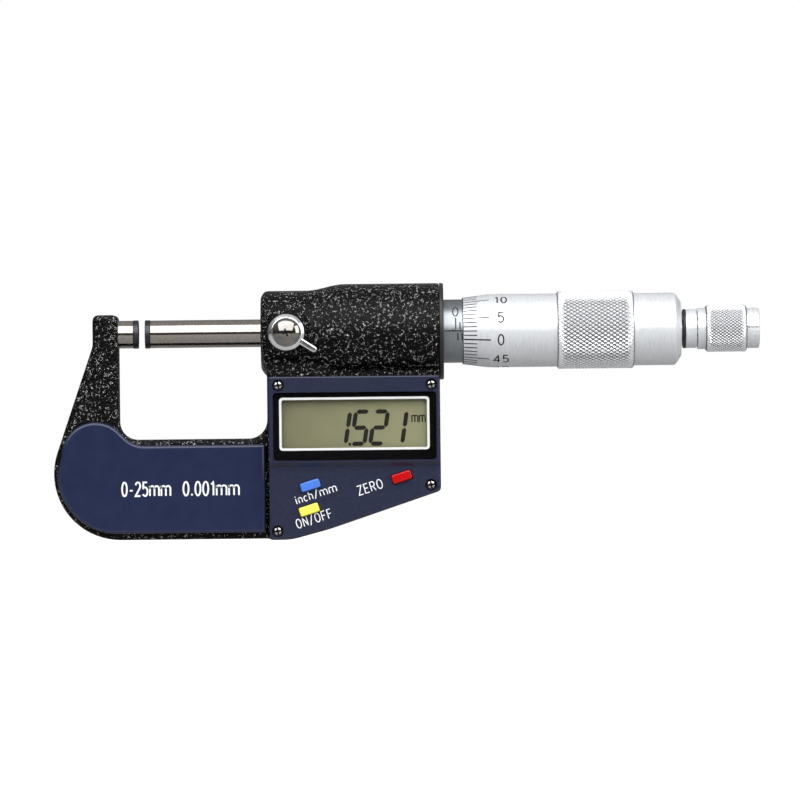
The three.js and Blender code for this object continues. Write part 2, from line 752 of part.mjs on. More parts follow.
function lockLever() {
  const arm = new THREE.Shape();
  arm.moveTo(2.6, 0.85);
  arm.lineTo(7.7, 0.55);
  arm.absarc(7.7, 0, 0.55, Math.PI / 2, -Math.PI / 2, true);
  arm.lineTo(2.6, -0.85);
  arm.closePath();
  const turn = THREE.MathUtils.degToRad(32);
  const handle = new THREE.ExtrudeGeometry(arm, { depth: 1.1, bevelEnabled: false, curveSegments: 5 })
    .rotateX(Math.PI / 2)
    .rotateY(turn)
    .translate(LOCK_X, -10.5, 0);
  const foot = LOCK_SEAT_Y - 0.3;
  const hub = turnedAcross(LOCK_X, 0, [
    [foot, 2.15],
    [-11.9, 2.15],
    [-11.9, 3.6],
    [-11.3, 4.2],
    [-10.2, 4.35],
    [foot, 4.35],
  ]);
  return hub.add(solid(handle).subtract(pin(LOCK_X, 0, -13, -8, 3)));
}

add("lock_lever", lockLever(), chrome);
add("lock_cap_screw", turnedAcross(LOCK_X, 0, [
  [-13.3, 0],
  [-13.2, 0.8],
  [-12.95, 1.6],
  [-12.55, 2.4],
  [-11.95, 3.2],
  [-11.95, 1.35],
  [-9.2, 1.35],
  [-9.2, 0],
]), chrome);
add("lock_shaft", cut(pin(LOCK_X, 0, -11.85, -5.6, 2), pin(LOCK_X, 0, -13, -9, 1.45)), steel);
add("clamp_plug", pin(LOCK_X, 0, -5.4, -SPINDLE_R - 0.4, 1.9), brass);

export default micrometer;
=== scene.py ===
"""Looks for the digital outside micrometer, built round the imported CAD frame.

Shapes are made in millimetres about the measuring axis: X runs from the anvil's face to the
ratchet, Z is up and the display faces -Y. new_piece() then takes them to the frame's metres.
"""
import json
import math

import bmesh
import bpy
from mathutils import Matrix, Vector


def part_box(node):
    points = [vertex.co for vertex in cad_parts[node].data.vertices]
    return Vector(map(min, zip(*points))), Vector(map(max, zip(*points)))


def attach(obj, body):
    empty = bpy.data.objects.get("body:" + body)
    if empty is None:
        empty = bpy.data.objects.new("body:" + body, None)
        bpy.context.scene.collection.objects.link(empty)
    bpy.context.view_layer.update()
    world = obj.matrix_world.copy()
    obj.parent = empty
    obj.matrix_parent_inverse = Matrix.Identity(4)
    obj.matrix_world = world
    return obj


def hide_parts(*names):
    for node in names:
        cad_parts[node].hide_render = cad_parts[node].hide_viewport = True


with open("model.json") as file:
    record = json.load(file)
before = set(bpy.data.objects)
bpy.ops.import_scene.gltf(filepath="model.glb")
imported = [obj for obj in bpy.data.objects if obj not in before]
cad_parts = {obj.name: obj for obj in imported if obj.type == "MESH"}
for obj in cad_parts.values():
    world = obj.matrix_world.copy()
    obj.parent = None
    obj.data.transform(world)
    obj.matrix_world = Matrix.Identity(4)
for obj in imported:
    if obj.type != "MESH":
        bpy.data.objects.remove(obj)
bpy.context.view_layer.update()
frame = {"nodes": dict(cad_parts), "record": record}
scene = bpy.context.scene

# ---- The axis frame ----

MM = 0.001
ANVIL_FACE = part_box("anvil_tip")[1].x
spindle_low, spindle_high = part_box("spindle")
spindle_middle = (spindle_low + spindle_high) / 2
AXIS = Vector((ANVIL_FACE, spindle_middle.y, spindle_middle.z))


def span(node):
    """A CAD node's limits along X, Y and Z, in millimetres about the measuring axis."""
    low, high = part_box(node)
    return tuple(zip((low - AXIS) / MM, (high - AXIS) / MM))


# ---- Sizes shared with the CAD pieces ----

FRAME = span("frame")
FRAME_HALF_DEPTH = 5.0
FRAME_EDGE = 0.9
ARM_RIGHT = span("anvil")[0][0] + 5.0
THROAT_RIGHT = 30.1
THROAT_BOTTOM = -24.75
ARM_BEND_Z = -2.67
ARM_SLOPE = math.tan(math.radians(18.9))
BOSS_LEFT = 28.8
BOSS_R = 9.9
CHAMBER_R = FRAME[2][1]
BAY_HALF_DEPTH = 7.15
BAY_WALL = 1.8
BAY_MARGIN = 0.2

COVER = span("display_cover")
DISPLAY_FACE = COVER[1][0]
COVER_BACK = COVER[1][1]
KEY_FACE = DISPLAY_FACE + 1.0
STEP_Z = -31.4
WINDOW = span("display_window")
WINDOW_PLAY = 0.1
VIEW_OPENING = (33.2, 68.1, -27.9, -15.7)  # left, right, bottom and top
LCD = span("lcd_panel")
SCREWS = [f"cover_screw_{number}" for number in (1, 2, 3, 4)]
KEYS = ["unit_button", "power_button", "zero_button"]
KEY_SIZE = (4.7, 2.15)
KEY_TILT = 17.5

LOCK_X = sum(span("lock_shaft")[0]) / 2
LOCK_SEAT_R = 5.8
LOCK_SEAT_Y = -8.4
SPINDLE_R = 3.25
SLEEVE = span("sleeve")
SLEEVE_R = SLEEVE[2][1]
THIMBLE = span("thimble")
THIMBLE_R = 8.6
BEVEL_END = 82.35
BEVEL_R = 7.81
THIMBLE_REAR_R = 8.5
THIMBLE_BORE_R = 7.66
KNURL_SPAN = (98.35, 116.35)
KNURL_R = THIMBLE[2][1]
KNURL_DEPTH = 0.36
THREAD_SPAN = (80.0, 118.4)
THREAD_PITCH = 0.5
THREAD_R = 3.6
KNOB = span("ratchet_knob")
KNOB_R = KNOB[2][1]
KNOB_GRIP = (KNOB[0][0] + 1.9, KNOB[0][0] + 11.5)
KNOB_DEPTH = 0.3
RATCHET_FACE = 131.2
BATTERY = span("battery")
BATTERY_X = sum(BATTERY[0]) / 2
BATTERY_Z = sum(BATTERY[2]) / 2


def middle(node):
    """The centre of a CAD node in X and Z."""
    limits = span(node)
    return sum(limits[0]) / 2, sum(limits[2]) / 2


# ---- Materials ----


def srgb(*levels):
    """A colour given as 0 to 255 levels, in the linear values that nodes take."""
    linear = [(v / 255 / 12.92) if v <= 10 else ((v / 255 + 0.055) / 1.055) ** 2.4 for v in levels]
    return (*linear, 1.0)


class Nodes:
    """The nodes of a material or a world, with levels that depend on the place."""

    def __init__(self, owner, space):
        owner.use_nodes = True
        self.tree = owner.node_tree
        self.place = self.node("TexCoord").outputs[space]

    def node(self, kind, **values):
        """A new node with some of its inputs set, where _ stands for a space in their names."""
        node = self.tree.nodes.new("ShaderNode" + kind)
        for name, value in values.items():
            node.inputs[name.replace("_", " ")].default_value = value
        return node

    def link(self, output, target):
        self.tree.links.new(output, target)

    def noise(self, per_mm, stretch=(1, 1, 1), detail=3.0, distortion=0.0):
        """A noise level with about per_mm grains to a millimetre, drawn out by stretch."""
        mapping = self.node("Mapping", Scale=stretch)
        noise = self.node("TexNoise", Scale=per_mm / MM, Detail=detail, Distortion=distortion)
        self.link(self.place, mapping.inputs["Vector"])
        self.link(mapping.outputs["Vector"], noise.inputs["Vector"])
        return noise.outputs["Fac"]

    def ramp(self, level, stops):
        """Colours by level, from (level, colour) stops with colours in 0 to 255."""
        node = self.node("ValToRGB")
        elements = node.color_ramp.elements
        while len(elements) < len(stops):
            elements.new(0.5)
        for element, (position, colour) in zip(elements, stops):
            element.position = position
            element.color = srgb(*colour)
        self.link(level, node.inputs["Fac"])
        return node.outputs["Color"]

    def spread(self, level, low, high, start=0.3, end=0.7):
        """A level from start to end taken to low to high."""
        node = self.node("MapRange", From_Min=start, From_Max=end, To_Min=low, To_Max=high)
        self.link(level, node.inputs["Value"])
        return node.outputs["Result"]

    def product(self, first, second):
        node = self.node("Math")
        node.operation = "MULTIPLY"
        self.link(first, node.inputs[0])
        self.link(second, node.inputs[1])
        return node.outputs["Value"]


class Look(Nodes):
    """A node material whose colour, roughness and bump come from noise in the piece's own space."""

    def __init__(self, name, roughness=0.4, metallic=0.0, specular=0.5):
        self.material = bpy.data.materials.new(name)
        super().__init__(self.material, "Object")
        self.shader = self.tree.nodes["Principled BSDF"]
        self.shader.inputs["Metallic"].default_value = metallic
        self.shader.inputs["Roughness"].default_value = roughness
        self.shader.inputs["Specular IOR Level"].default_value = specular

    def colour(self, output):
        self.link(output, self.shader.inputs["Base Color"])
        return self

    def rough(self, output):
        self.link(output, self.shader.inputs["Roughness"])
        return self

    def bump(self, level, height_mm, strength=1.0):
        node = self.node("Bump", Distance=height_mm * MM, Strength=strength)
        self.link(level, node.inputs["Height"])
        self.link(node.outputs["Normal"], self.shader.inputs["Normal"])
        return self


def grained(name, dark, light, per_mm, depth, roughness, stretch=(1, 1, 1), metallic=0.0, specular=0.5):
    """A surface between two colours, with a grain of the given depth and a range of roughness."""
    look = Look(name, metallic=metallic, specular=specular)
    level = look.noise(per_mm, stretch)
    look.colour(look.ramp(level, [(0.3, dark), (0.7, light)]))
    look.rough(look.spread(level, *roughness))
    return look.bump(level, depth).material


def hammered_enamel():
    # Black enamel with painted glints: the white flecks in its colour stand in for highlights off the
    # hammered bumps, beside its real bump and roughness.
    look = Look("hammered_enamel", specular=0.1)
    squiggle = look.noise(2.1, detail=1.5, distortion=0.9)
    black, white = (0, 0, 0), (255, 255, 255)
    painted_glint = look.ramp(squiggle, [(0.465, black), (0.485, white), (0.505, black)])
    glint_patches = look.noise(1.5, detail=2.0)
    glint_patch = look.spread(glint_patches, 0.0, 1.0, 0.525, 0.585)
    glint_amount = look.product(painted_glint, glint_patch)
    look.colour(look.ramp(glint_amount, [(0.3, (4, 3, 3)), (0.7, (250, 250, 250))]))
    look.rough(look.spread(squiggle, 0.1, 0.2))
    return look.bump(squiggle, 0.2, 1.0).material


def knurled_metal(crest_r, depth):
    """Bright metal with painted shade in its grooves: the colour darkens by how far the surface is from the
    measuring axis.
    """
    look = Look("knurled_chrome_painted_groove_shade", metallic=0.6)
    flat = look.node("Mapping", Location=(0, -AXIS.y, -AXIS.z), Scale=(0, 1, 1))
    length = look.node("VectorMath")
    length.operation = "LENGTH"
    look.link(look.place, flat.inputs["Vector"])
    look.link(flat.outputs["Vector"], length.inputs[0])
    height = look.spread(length.outputs["Value"], 0.0, 1.0, (crest_r - depth) * MM, crest_r * MM)
    # Painted shade: the grooves' colour is much darker than the crests'.
    look.colour(look.ramp(height, [(0.1, (92, 92, 94)), (0.5, (236, 237, 239))]))
    grain = look.noise(1.1)
    look.rough(look.spread(grain, 0.24, 0.32))
    return look.bump(grain, 0.003).material


def display_sheet():
    """The grey-green sheet of the display, a little brighter towards its right end."""
    look = Look("display_glass")
    split = look.node("SeparateXYZ")
    look.link(look.place, split.inputs["Vector"])
    left, right = (AXIS.x + x * MM for x in LCD[0])
    across = look.spread(split.outputs["X"], 0.0, 1.0, left, right)
    look.colour(look.ramp(across, [(0.1, (122, 120, 92)), (0.95, (148, 147, 115))]))
    grain = look.noise(0.05)
    look.rough(look.spread(grain, 0.3, 0.4))
    return look.bump(grain, 0.0005).material


def clear_window():
    """Clear plastic as see-through with a gloss that grows towards the edge-on view."""
    look = Look("clear_window", roughness=0.03)
    through = look.node("BsdfTransparent")
    gloss = look.node("BsdfGlossy")
    facing = look.node("LayerWeight", Blend=0.1)
    mix = look.node("MixShader")
    smudge = look.noise(0.2, detail=4.0)
    look.link(look.spread(smudge, 0.03, 0.1), gloss.inputs["Roughness"])
    tint = look.ramp(smudge, [(0.3, (253, 253, 252)), (0.7, (255, 255, 254))])
    look.link(tint, through.inputs["Color"])
    look.link(facing.outputs["Facing"], mix.inputs["Fac"])
    look.link(through.outputs["BSDF"], mix.inputs[1])
    look.link(gloss.outputs["BSDF"], mix.inputs[2])
    look.link(mix.outputs["Shader"], look.tree.nodes["Material Output"].inputs["Surface"])
    return look.material


ROUND = (1, 1, 1)
LATHE_LINES = (6, 0.35, 0.35)  # fine lines round the measuring axis
GROUND_LINES = (3, 0.6, 0.6)

# Each grained look: its two colours, grains to a millimetre, depth of grain in mm and range of
# roughness, then the way it is drawn out, how metallic it is and its specular level, where these
# differ from the usual.
GRAINED = {
    "navy_plastic": ((36, 40, 59), (40, 44, 64), 1.2, 0.0006, (0.16, 0.22), ROUND, 0, 0.4),
    "navy_gloss": ((32, 39, 66), (35, 42, 70), 0.3, 0.0008, (0.1, 0.15), ROUND, 0, 0.45),
    "black_plastic": ((18, 18, 20), (26, 26, 28), 2.0, 0.006, (0.35, 0.5)),
    "black_print_and_shade": ((11, 10, 12), (15, 14, 16), 1.2, 0.0003, (0.1, 0.14), ROUND, 0, 0.2),
    "satin_chrome": ((214, 217, 220), (234, 236, 238), 1.1, 0.003, (0.34, 0.44), LATHE_LINES, 0.55),
    # The sleeve's chrome is satin chrome made darker: its lower colour is painted shade for the sleeve's
    # dim reflections.
    "sleeve_chrome_painted_shade": ((136, 140, 144), (158, 162, 166), 1.2, 0.003, (0.3, 0.4), LATHE_LINES, 1.0),
    "ground_steel": ((150, 142, 134), (180, 172, 164), 1.5, 0.0006, (0.05, 0.1), GROUND_LINES, 1.0),
    "plated_steel": ((176, 174, 166), (210, 208, 200), 1.5, 0.003, (0.16, 0.3), ROUND, 1.0),
    "carbide": ((50, 50, 54), (74, 74, 78), 2.5, 0.002, (0.3, 0.42), ROUND, 0.9),
    # The lock dome's chrome is polished chrome made darker: its dark colour is a painted dark reflection.
    "cap_chrome_painted_dark_reflection": ((128, 124, 120), (150, 146, 142), 0.6, 0.001, (0.04, 0.09), ROUND, 1.0),
    "polished_chrome": ((236, 237, 239), (248, 248, 249), 0.6, 0.001, (0.12, 0.2), ROUND, 1.0),
    "brass": ((168, 130, 60), (196, 158, 84), 1.2, 0.003, (0.25, 0.4), ROUND, 1.0),
    "rubber": ((22, 22, 23), (32, 32, 33), 3.0, 0.01, (0.7, 0.85)),
    "circuit_board": ((22, 74, 44), (34, 92, 54), 0.7, 0.01, (0.4, 0.55)),
    "black_ink_and_shade": ((8, 8, 9), (14, 14, 16), 3.0, 0.001, (0.5, 0.6), ROUND, 0, 0.1),
    "white_ink": ((226, 228, 232), (240, 241, 243), 3.0, 0.001, (0.45, 0.55)),
    "segment_ink": ((36, 35, 32), (44, 43, 39), 1.0, 0.0003, (0.35, 0.45), ROUND, 0, 0.1),
    "blue_key": ((70, 116, 204), (78, 124, 214), 1.5, 0.0006, (0.16, 0.24), ROUND, 0, 0.3),
    "yellow_key": ((242, 228, 84), (248, 238, 96), 1.5, 0.0006, (0.16, 0.24)),
    "red_key": ((172, 6, 6), (186, 10, 9), 1.5, 0.0006, (0.16, 0.24), ROUND, 0, 0.3),
}
LOOKS = {name: grained(name, *values) for name, values in GRAINED.items()}
LOOKS["enamel"] = hammered_enamel()
LOOKS["thimble_knurl"] = knurled_metal(KNURL_R, KNURL_DEPTH)
LOOKS["knob_knurl"] = knurled_metal(KNOB_R, KNOB_DEPTH)
LOOKS["display_glass"] = display_sheet()
LOOKS["window"] = clear_window()

# ---- Shapes ----

FULL_TURN = 2 * math.pi


def as_mesh(shape, name="holder"):
    mesh = bpy.data.meshes.new(name)
    bmesh.ops.recalc_face_normals(shape, faces=shape.faces)
    shape.to_mesh(mesh)
    shape.free()
    return mesh


def add_object(name, data):
    obj = bpy.data.objects.new(name, data)
    scene.collection.objects.link(obj)
    return obj


def new_piece(name, shape, body, slot, *replaced, look=None, sharp=32):
    """The finished shape as a named piece on its body, in the look of its slot or in another."""
    mesh = as_mesh(shape, name)
    mesh.transform(Matrix.Translation(AXIS) @ Matrix.Scale(MM, 4))
    mesh.polygons.foreach_set("use_smooth", [True] * len(mesh.polygons))
    mesh.set_sharp_from_angle(angle=math.radians(sharp))
    mesh.materials.append(LOOKS[look or slot])
    obj = add_object(name, mesh)
    weighted = obj.modifiers.new("flat_faces_stay_flat", "WEIGHTED_NORMAL")
    weighted.keep_sharp = True
    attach(obj, body)
    if replaced:
        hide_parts(*replaced)
    return obj


def rounded(corners, closed=True, per_turn=64):
    """Points along an outline of (a, b, radius) corners, each rounded by its radius."""
    points = []
    count = len(corners)
    for i, (a, b, radius) in enumerate(corners):
        here = Vector((a, b))
        if not radius or (not closed and i in (0, count - 1)):
            points.append(here)
            continue
        back = (Vector(corners[i - 1][:2]) - here).normalized()
        ahead = (Vector(corners[(i + 1) % count][:2]) - here).normalized()
        half = back.angle(ahead) / 2
        centre = here + (back + ahead).normalized() * radius / math.sin(half)
        start = here + back * radius / math.tan(half) - centre
        end = here + ahead * radius / math.tan(half) - centre
        turn = start.angle_signed(end)
        steps = max(2, math.ceil(abs(turn) / FULL_TURN * per_turn))
        for step in range(steps + 1):
            angle = -turn * step / steps
            points.append(centre + Matrix.Rotation(angle, 2) @ start)
    return [tuple(p) for p in points]


def bridge(mesh_data, first, second):
    """Faces between two rings, either of which may be a single point."""
    count = max(len(first), len(second))
    for i in range(count):
        j = (i + 1) % count
        near = [first[i % len(first)], first[j % len(first)]]
        far = [second[j % len(second)], second[i % len(second)]]
        mesh_data.faces.new(list(dict.fromkeys(near + far)))


def round_axis(place, r, angle):
    """A point at a radius round the measuring axis, with angles taken up from the front."""
    return (place, -r * math.cos(angle), r * math.sin(angle))


def turned(profile, segments=128, about=None):
    """A (place, radius) profile turned about the measuring axis, or along Y about an (x, z) point."""
    mesh_data = bmesh.new()
    rings = []
    for place, r in profile:
        ring = []
        for i in range(segments if r > 1e-6 else 1):
            angle = FULL_TURN * i / segments
            if about:
                at = (about[0] + r * math.cos(angle), place, about[1] + r * math.sin(angle))
            else:
                at = round_axis(place, r, angle)
            ring.append(mesh_data.verts.new(at))
        rings.append(ring)
    for first, second in zip(rings, rings[1:]):
        bridge(mesh_data, first, second)
    if profile[0][1] > 1e-6:
        bridge(mesh_data, rings[-1], rings[0])
    return mesh_data


def inset(points, distance):
    """An anticlockwise outline drawn in by a distance."""
    moved = []
    for i, point in enumerate(points):
        here = Vector(point)
        before = (here - Vector(points[i - 1])).normalized()
        after = (Vector(points[(i + 1) % len(points)]) - here).normalized()
        first = Vector((-before.y, before.x))
        second = Vector((-after.y, after.x))
        moved.append(tuple(here + (first + second) / (1 + first.dot(second)) * distance))
    return moved


def slab(points, front, back, front_edge=0.0, back_edge=0.0, steps=4):
    """An anticlockwise outline in X and Z given depth, with its two rims rounded."""
    levels = []
    for edge, face, way in ((front_edge, front, 1), (back_edge, back, -1)):
        turns = [math.pi / 2 * i / steps for i in range(steps + 1)] if edge else [0]
        rim = [(edge * (1 - math.sin(t)), face + way * edge * (1 - math.cos(t))) for t in turns]
        levels += rim if way == 1 else rim[::-1]
    mesh_data = bmesh.new()
    rings = []
    for distance, y in levels:
        outline = inset(points, distance) if distance > 1e-6 else points
        rings.append([mesh_data.verts.new((x, y, z)) for x, z in outline])
    for first, second in zip(rings, rings[1:]):
        bridge(mesh_data, first, second)
    mesh_data.faces.new(rings[0])
    mesh_data.faces.new(rings[-1])
    return mesh_data


def rectangle(left, right, bottom, top, radius=0.0):
    corners = [(left, bottom), (right, bottom), (right, top), (left, top)]
    return rounded([(*corner, radius) for corner in corners])


def centred(at, width, height, radius=0.0):
    x, z = at
    return rectangle(x - width / 2, x + width / 2, z - height / 2, z + height / 2, radius)


def grown(left, right, bottom, top, margin, radius):
    """A rectangle that reaches past its limits by a margin."""
    return rectangle(left - margin, right + margin, bottom - margin, top + margin, radius)


def turn(mesh_data, axis, degrees, at=(0, 0, 0)):
    rotation = Matrix.Rotation(math.radians(degrees), 3, axis)
    bmesh.ops.rotate(mesh_data, cent=at, matrix=rotation, verts=mesh_data.verts)
    return mesh_data


def tilt(mesh_data, at, degrees):
    """Turns a shape in the display's plane, anticlockwise as the display is read."""
    return turn(mesh_data, "Y", -degrees, (at[0], 0, at[1]))


def joined(*shapes):
    """Several shapes as one mesh."""
    whole = bmesh.new()
    for shape in shapes:
        holder = as_mesh(shape)
        whole.from_mesh(holder)
        bpy.data.meshes.remove(holder)
    return whole


def combined(shape, steps):
    """A shape after (modifier type, settings) steps, where a setting may be another shape."""
    holders = []

    def hold(part):
        holders.append(add_object("holder", as_mesh(part)))
        return holders[-1]

    target = hold(shape)
    for kind, settings in steps:
        modifier = target.modifiers.new(kind, kind)
        for key, value in settings.items():
            setattr(modifier, key, hold(value) if isinstance(value, bmesh.types.BMesh) else value)
    bpy.context.view_layer.update()
    result = bpy.data.meshes.new_from_object(target.evaluated_get(bpy.context.evaluated_depsgraph_get()))
    made = bmesh.new()
    made.from_mesh(result)
    for obj in holders:
        mesh = obj.data
        bpy.data.objects.remove(obj)
        bpy.data.meshes.remove(mesh)
    bpy.data.meshes.remove(result)
    return made


def boolean(operation, part):
    return "BOOLEAN", {"operation": operation, "solver": "MANIFOLD", "object": part}


def united(shape, *parts):
    return combined(shape, [boolean("UNION", part) for part in parts])


def cut(shape, *parts):
    return combined(shape, [boolean("DIFFERENCE", part) for part in parts])


def rod(left, right, r, segments=96):
    return turned([(left, 0), (left, r), (right, r), (right, 0)], segments)


def pin(at, front, back, r, segments=48):
    return turned([(front, 0), (front, r), (back, r), (back, 0)], segments, at)


def cross(at, front, back, reach, half):
    """The tool that cuts a cross recess."""
    x, z = at
    quarter = [(reach, -half), (reach, half), (half, half)]
    points = []
    for i in range(4):
        c, s = [(1, 0), (0, 1), (-1, 0), (0, -1)][i]
        points += [(x + a * c - b * s, z + a * s + b * c) for a, b in quarter]
    return slab(points, front, back)


# ---- Lines and lettering ----

PROUD = 0.012  # how far ink stands off a surface
SUNK = 0.05
LINE_STEP = 0.45  # strokes on a curved surface are divided this finely


def arc(x, y, rx, ry, start, end, steps=None):
    """Points on part of an ellipse, with angles in degrees."""
    steps = steps or max(4, round(abs(end - start) / 15))
    angles = [math.radians(start + (end - start) * i / steps) for i in range(steps + 1)]
    return [(x + rx * math.cos(a), y + ry * math.sin(a)) for a in angles]


# Each glyph is its width and its strokes, in units of the height of a capital.
GLYPHS = {
    " ": (0.3, []),
    "0": (0.5, [arc(0.25, 0.5, 0.25, 0.5, 90, 450)]),
    "1": (0.3, [[(0.05, 0.78), (0.24, 1), (0.24, 0)]]),
    "2": (0.5, [arc(0.25, 0.73, 0.24, 0.27, 165, -25) + [(0, 0), (0.5, 0)]]),
    "3": (0.5, [arc(0.23, 0.76, 0.24, 0.24, 150, -80) + arc(0.23, 0.27, 0.26, 0.27, 80, -150)]),
    "4": (0.55, [[(0.42, 0), (0.42, 1), (0, 0.28), (0.55, 0.28)]]),
    "5": (0.5, [[(0.46, 1), (0.08, 1), (0.04, 0.55)] + arc(0.24, 0.32, 0.26, 0.32, 125, -145)]),
    "-": (0.4, [[(0.05, 0.4), (0.35, 0.4)]]),
    ".": (0.14, [[(0.07, 0), (0.07, 0.12)]]),
    "/": (0.45, [[(0, -0.1), (0.45, 1.1)]]),
    "i": (0.1, [[(0.05, 0), (0.05, 0.68)], [(0.05, 0.86), (0.05, 0.98)]]),
    "n": (0.42, [[(0, 0), (0, 0.68)], arc(0.21, 0.47, 0.21, 0.21, 180, 0) + [(0.42, 0)]]),
    "c": (0.4, [arc(0.22, 0.34, 0.22, 0.34, 50, 310)]),
    "h": (0.42, [[(0, 0), (0, 1)], arc(0.21, 0.47, 0.21, 0.21, 180, 0) + [(0.42, 0)]]),
    "m": (0.94, [
        [(0, 0), (0, 0.72)], arc(0.235, 0.52, 0.235, 0.2, 180, 0) + [(0.47, 0)],
        arc(0.705, 0.52, 0.235, 0.2, 180, 0) + [(0.94, 0)],
    ]),
    "O": (0.6, [arc(0.3, 0.5, 0.3, 0.5, 90, 450)]),
    "N": (0.52, [[(0, 0), (0, 1), (0.52, 0), (0.52, 1)]]),
    "F": (0.46, [[(0, 0), (0, 1), (0.46, 1)], [(0, 0.52), (0.4, 0.52)]]),
    "Z": (0.52, [[(0, 1), (0.52, 1), (0, 0), (0.52, 0)]]),
    "E": (0.46, [[(0.46, 1), (0, 1), (0, 0), (0.46, 0)], [(0, 0.52), (0.4, 0.52)]]),
    "R": (0.5, [
        [(0, 0), (0, 1)] + arc(0.26, 0.74, 0.24, 0.26, 90, -90) + [(0, 0.48)], [(0.26, 0.48), (0.5, 0)],
    ]),
}


def divided(path, step):
    """The same path with no stretch longer than a step."""
    points = [path[0]]
    for start, end in zip(path, path[1:]):
        parts = max(1, math.ceil(math.dist(start, end) / step))
        for i in range(1, parts + 1):
            points.append(tuple(a + (b - a) * i / parts for a, b in zip(start, end)))
    return points


def add_ribbon(mesh_data, path, width, place):
    """A thin raised strip along a path, which place(u, v, height) lays on the surface."""
    closed = math.dist(path[0], path[-1]) < 1e-6
    points = [Vector(p) for p in divided(path, LINE_STEP)]
    last = len(points) - 1
    rows = []
    for i, here in enumerate(points):
        before = points[i - 1] if i else (points[last - 1] if closed else None)
        after = points[i + 1] if i < last else (points[1] if closed else None)
        steps = [(a, b) for a, b in ((before, here), (here, after)) if a is not None and b is not None]
        ways = [(b - a).normalized() for a, b in steps]
        normals = [Vector((-w.y, w.x)) for w in ways]
        side = sum(normals, Vector((0, 0))) / (1 + max(normals[0].dot(normals[-1]), -0.5))
        side = side * (width / 2 if len(normals) == 2 else width)
        if len(normals) == 1:
            side = normals[0] * width / 2
        edges = [here + side, here - side]
        rows.append([mesh_data.verts.new(place(*edge, h)) for edge in edges for h in (PROUD, -SUNK)])
    for first, second in zip(rows, rows[1:]):
        for a, b in ((0, 1), (1, 3), (3, 2), (2, 0)):
            mesh_data.faces.new([first[a], first[b], second[b], second[a]])
    if not closed:
        for row in (rows[0], rows[-1]):
            mesh_data.faces.new([row[0], row[1], row[3], row[2]])


def text_width(text, gap):
    return sum(GLYPHS[letter][0] for letter in text) + gap * (len(text) - 1)


def add_text(mesh_data, text, centre, height, stroke, place, width=None, degrees=0.0, gap=0.22):
    """Lettering centred on a point of the surface, at its natural width or the one given."""
    natural = text_width(text, gap)
    across = (width or natural * height) / natural
    cursor = -natural / 2
    c, s = math.cos(math.radians(degrees)), math.sin(math.radians(degrees))
    for letter in text:
        advance, strokes = GLYPHS[letter]
        for path in strokes:
            moved = []
            for u, v in path:
                a = (cursor + u) * across
                b = (v - 0.5) * height
                moved.append((centre[0] + a * c - b * s, centre[1] + a * s + b * c))
            add_ribbon(mesh_data, moved, stroke, place)
        cursor += advance + gap


def on_face(y):
    """Places on a face that looks towards -Y."""
    return lambda u, v, h: (u, y - h, v)


def on_cylinder(r):
    """Places round the measuring axis: u along it, v the length round it, up from the front."""
    return lambda u, v, h: round_axis(u, r + h, v / r)


def on_thimble(u, v, h):
    """Places on the thimble's bevelled edge and on its barrel, with v in the barrel's own length round."""
    share = min(1.0, (u - THIMBLE[0][0]) / (BEVEL_END - THIMBLE[0][0]))
    r = BEVEL_R + share * (THIMBLE_R - BEVEL_R) + h
    return round_axis(u, r, v / THIMBLE_R)


# ---- Camera, light and floor ----

VIEW_CENTRE = (61.3, -16.06)
VIEW_WIDTH = 188.2
CAMERA_AWAY = 1500.0
CAMERA_ROLL = math.radians(0.62)
SENSOR = 36.0
FLOOR_SIZE = 6000.0
FLOOR_BELOW = 60.0


def at_axis(x, y, z):
    return AXIS + Vector((x, y, z)) * MM


def add_camera():
    data = bpy.data.cameras.new("camera")
    data.sensor_width = SENSOR
    data.lens = SENSOR * CAMERA_AWAY / VIEW_WIDTH
    camera = add_object("camera", data)
    camera.location = at_axis(VIEW_CENTRE[0], -CAMERA_AWAY, VIEW_CENTRE[1])
    camera.rotation_euler = (math.pi / 2, CAMERA_ROLL, 0)
    scene.camera = camera


def add_softbox(name, at, size, watts):
    """An area light that looks at the middle of the object."""
    data = bpy.data.lights.new(name, "AREA")
    data.shape = "RECTANGLE"
    data.size, data.size_y = size[0] * MM, size[1] * MM
    data.energy = watts
    lamp = add_object(name, data)
    lamp.location = at_axis(*at)
    target = at_axis(VIEW_CENTRE[0], 0, VIEW_CENTRE[1])
    lamp.rotation_euler = (target - lamp.location).to_track_quat("-Z", "Y").to_euler()


def add_world():
    """A white room for the camera, and a grey one that is brighter above for the light."""
    world = bpy.data.worlds.new("studio")
    nodes = Nodes(world, "Generated")
    split = nodes.node("SeparateXYZ")
    nodes.link(nodes.place, split.inputs["Vector"])
    rise = nodes.spread(split.outputs["Z"], 0, 1, -1, 1)
    shade = nodes.ramp(rise, [(0, (28, 28, 30)), (0.5, (62, 62, 64)), (1, (190, 190, 192))])
    mix = nodes.node("Mix")
    mix.data_type = "RGBA"
    grey, white = [socket for socket in mix.inputs if socket.type == "RGBA"]
    result = [socket for socket in mix.outputs if socket.type == "RGBA"][0]
    white.default_value = (1, 1, 1, 1)
    nodes.link(shade, grey)
    nodes.link(nodes.node("LightPath").outputs["Is Camera Ray"], mix.inputs["Factor"])
    nodes.link(result, nodes.tree.nodes["Background"].inputs["Color"])
    scene.world = world


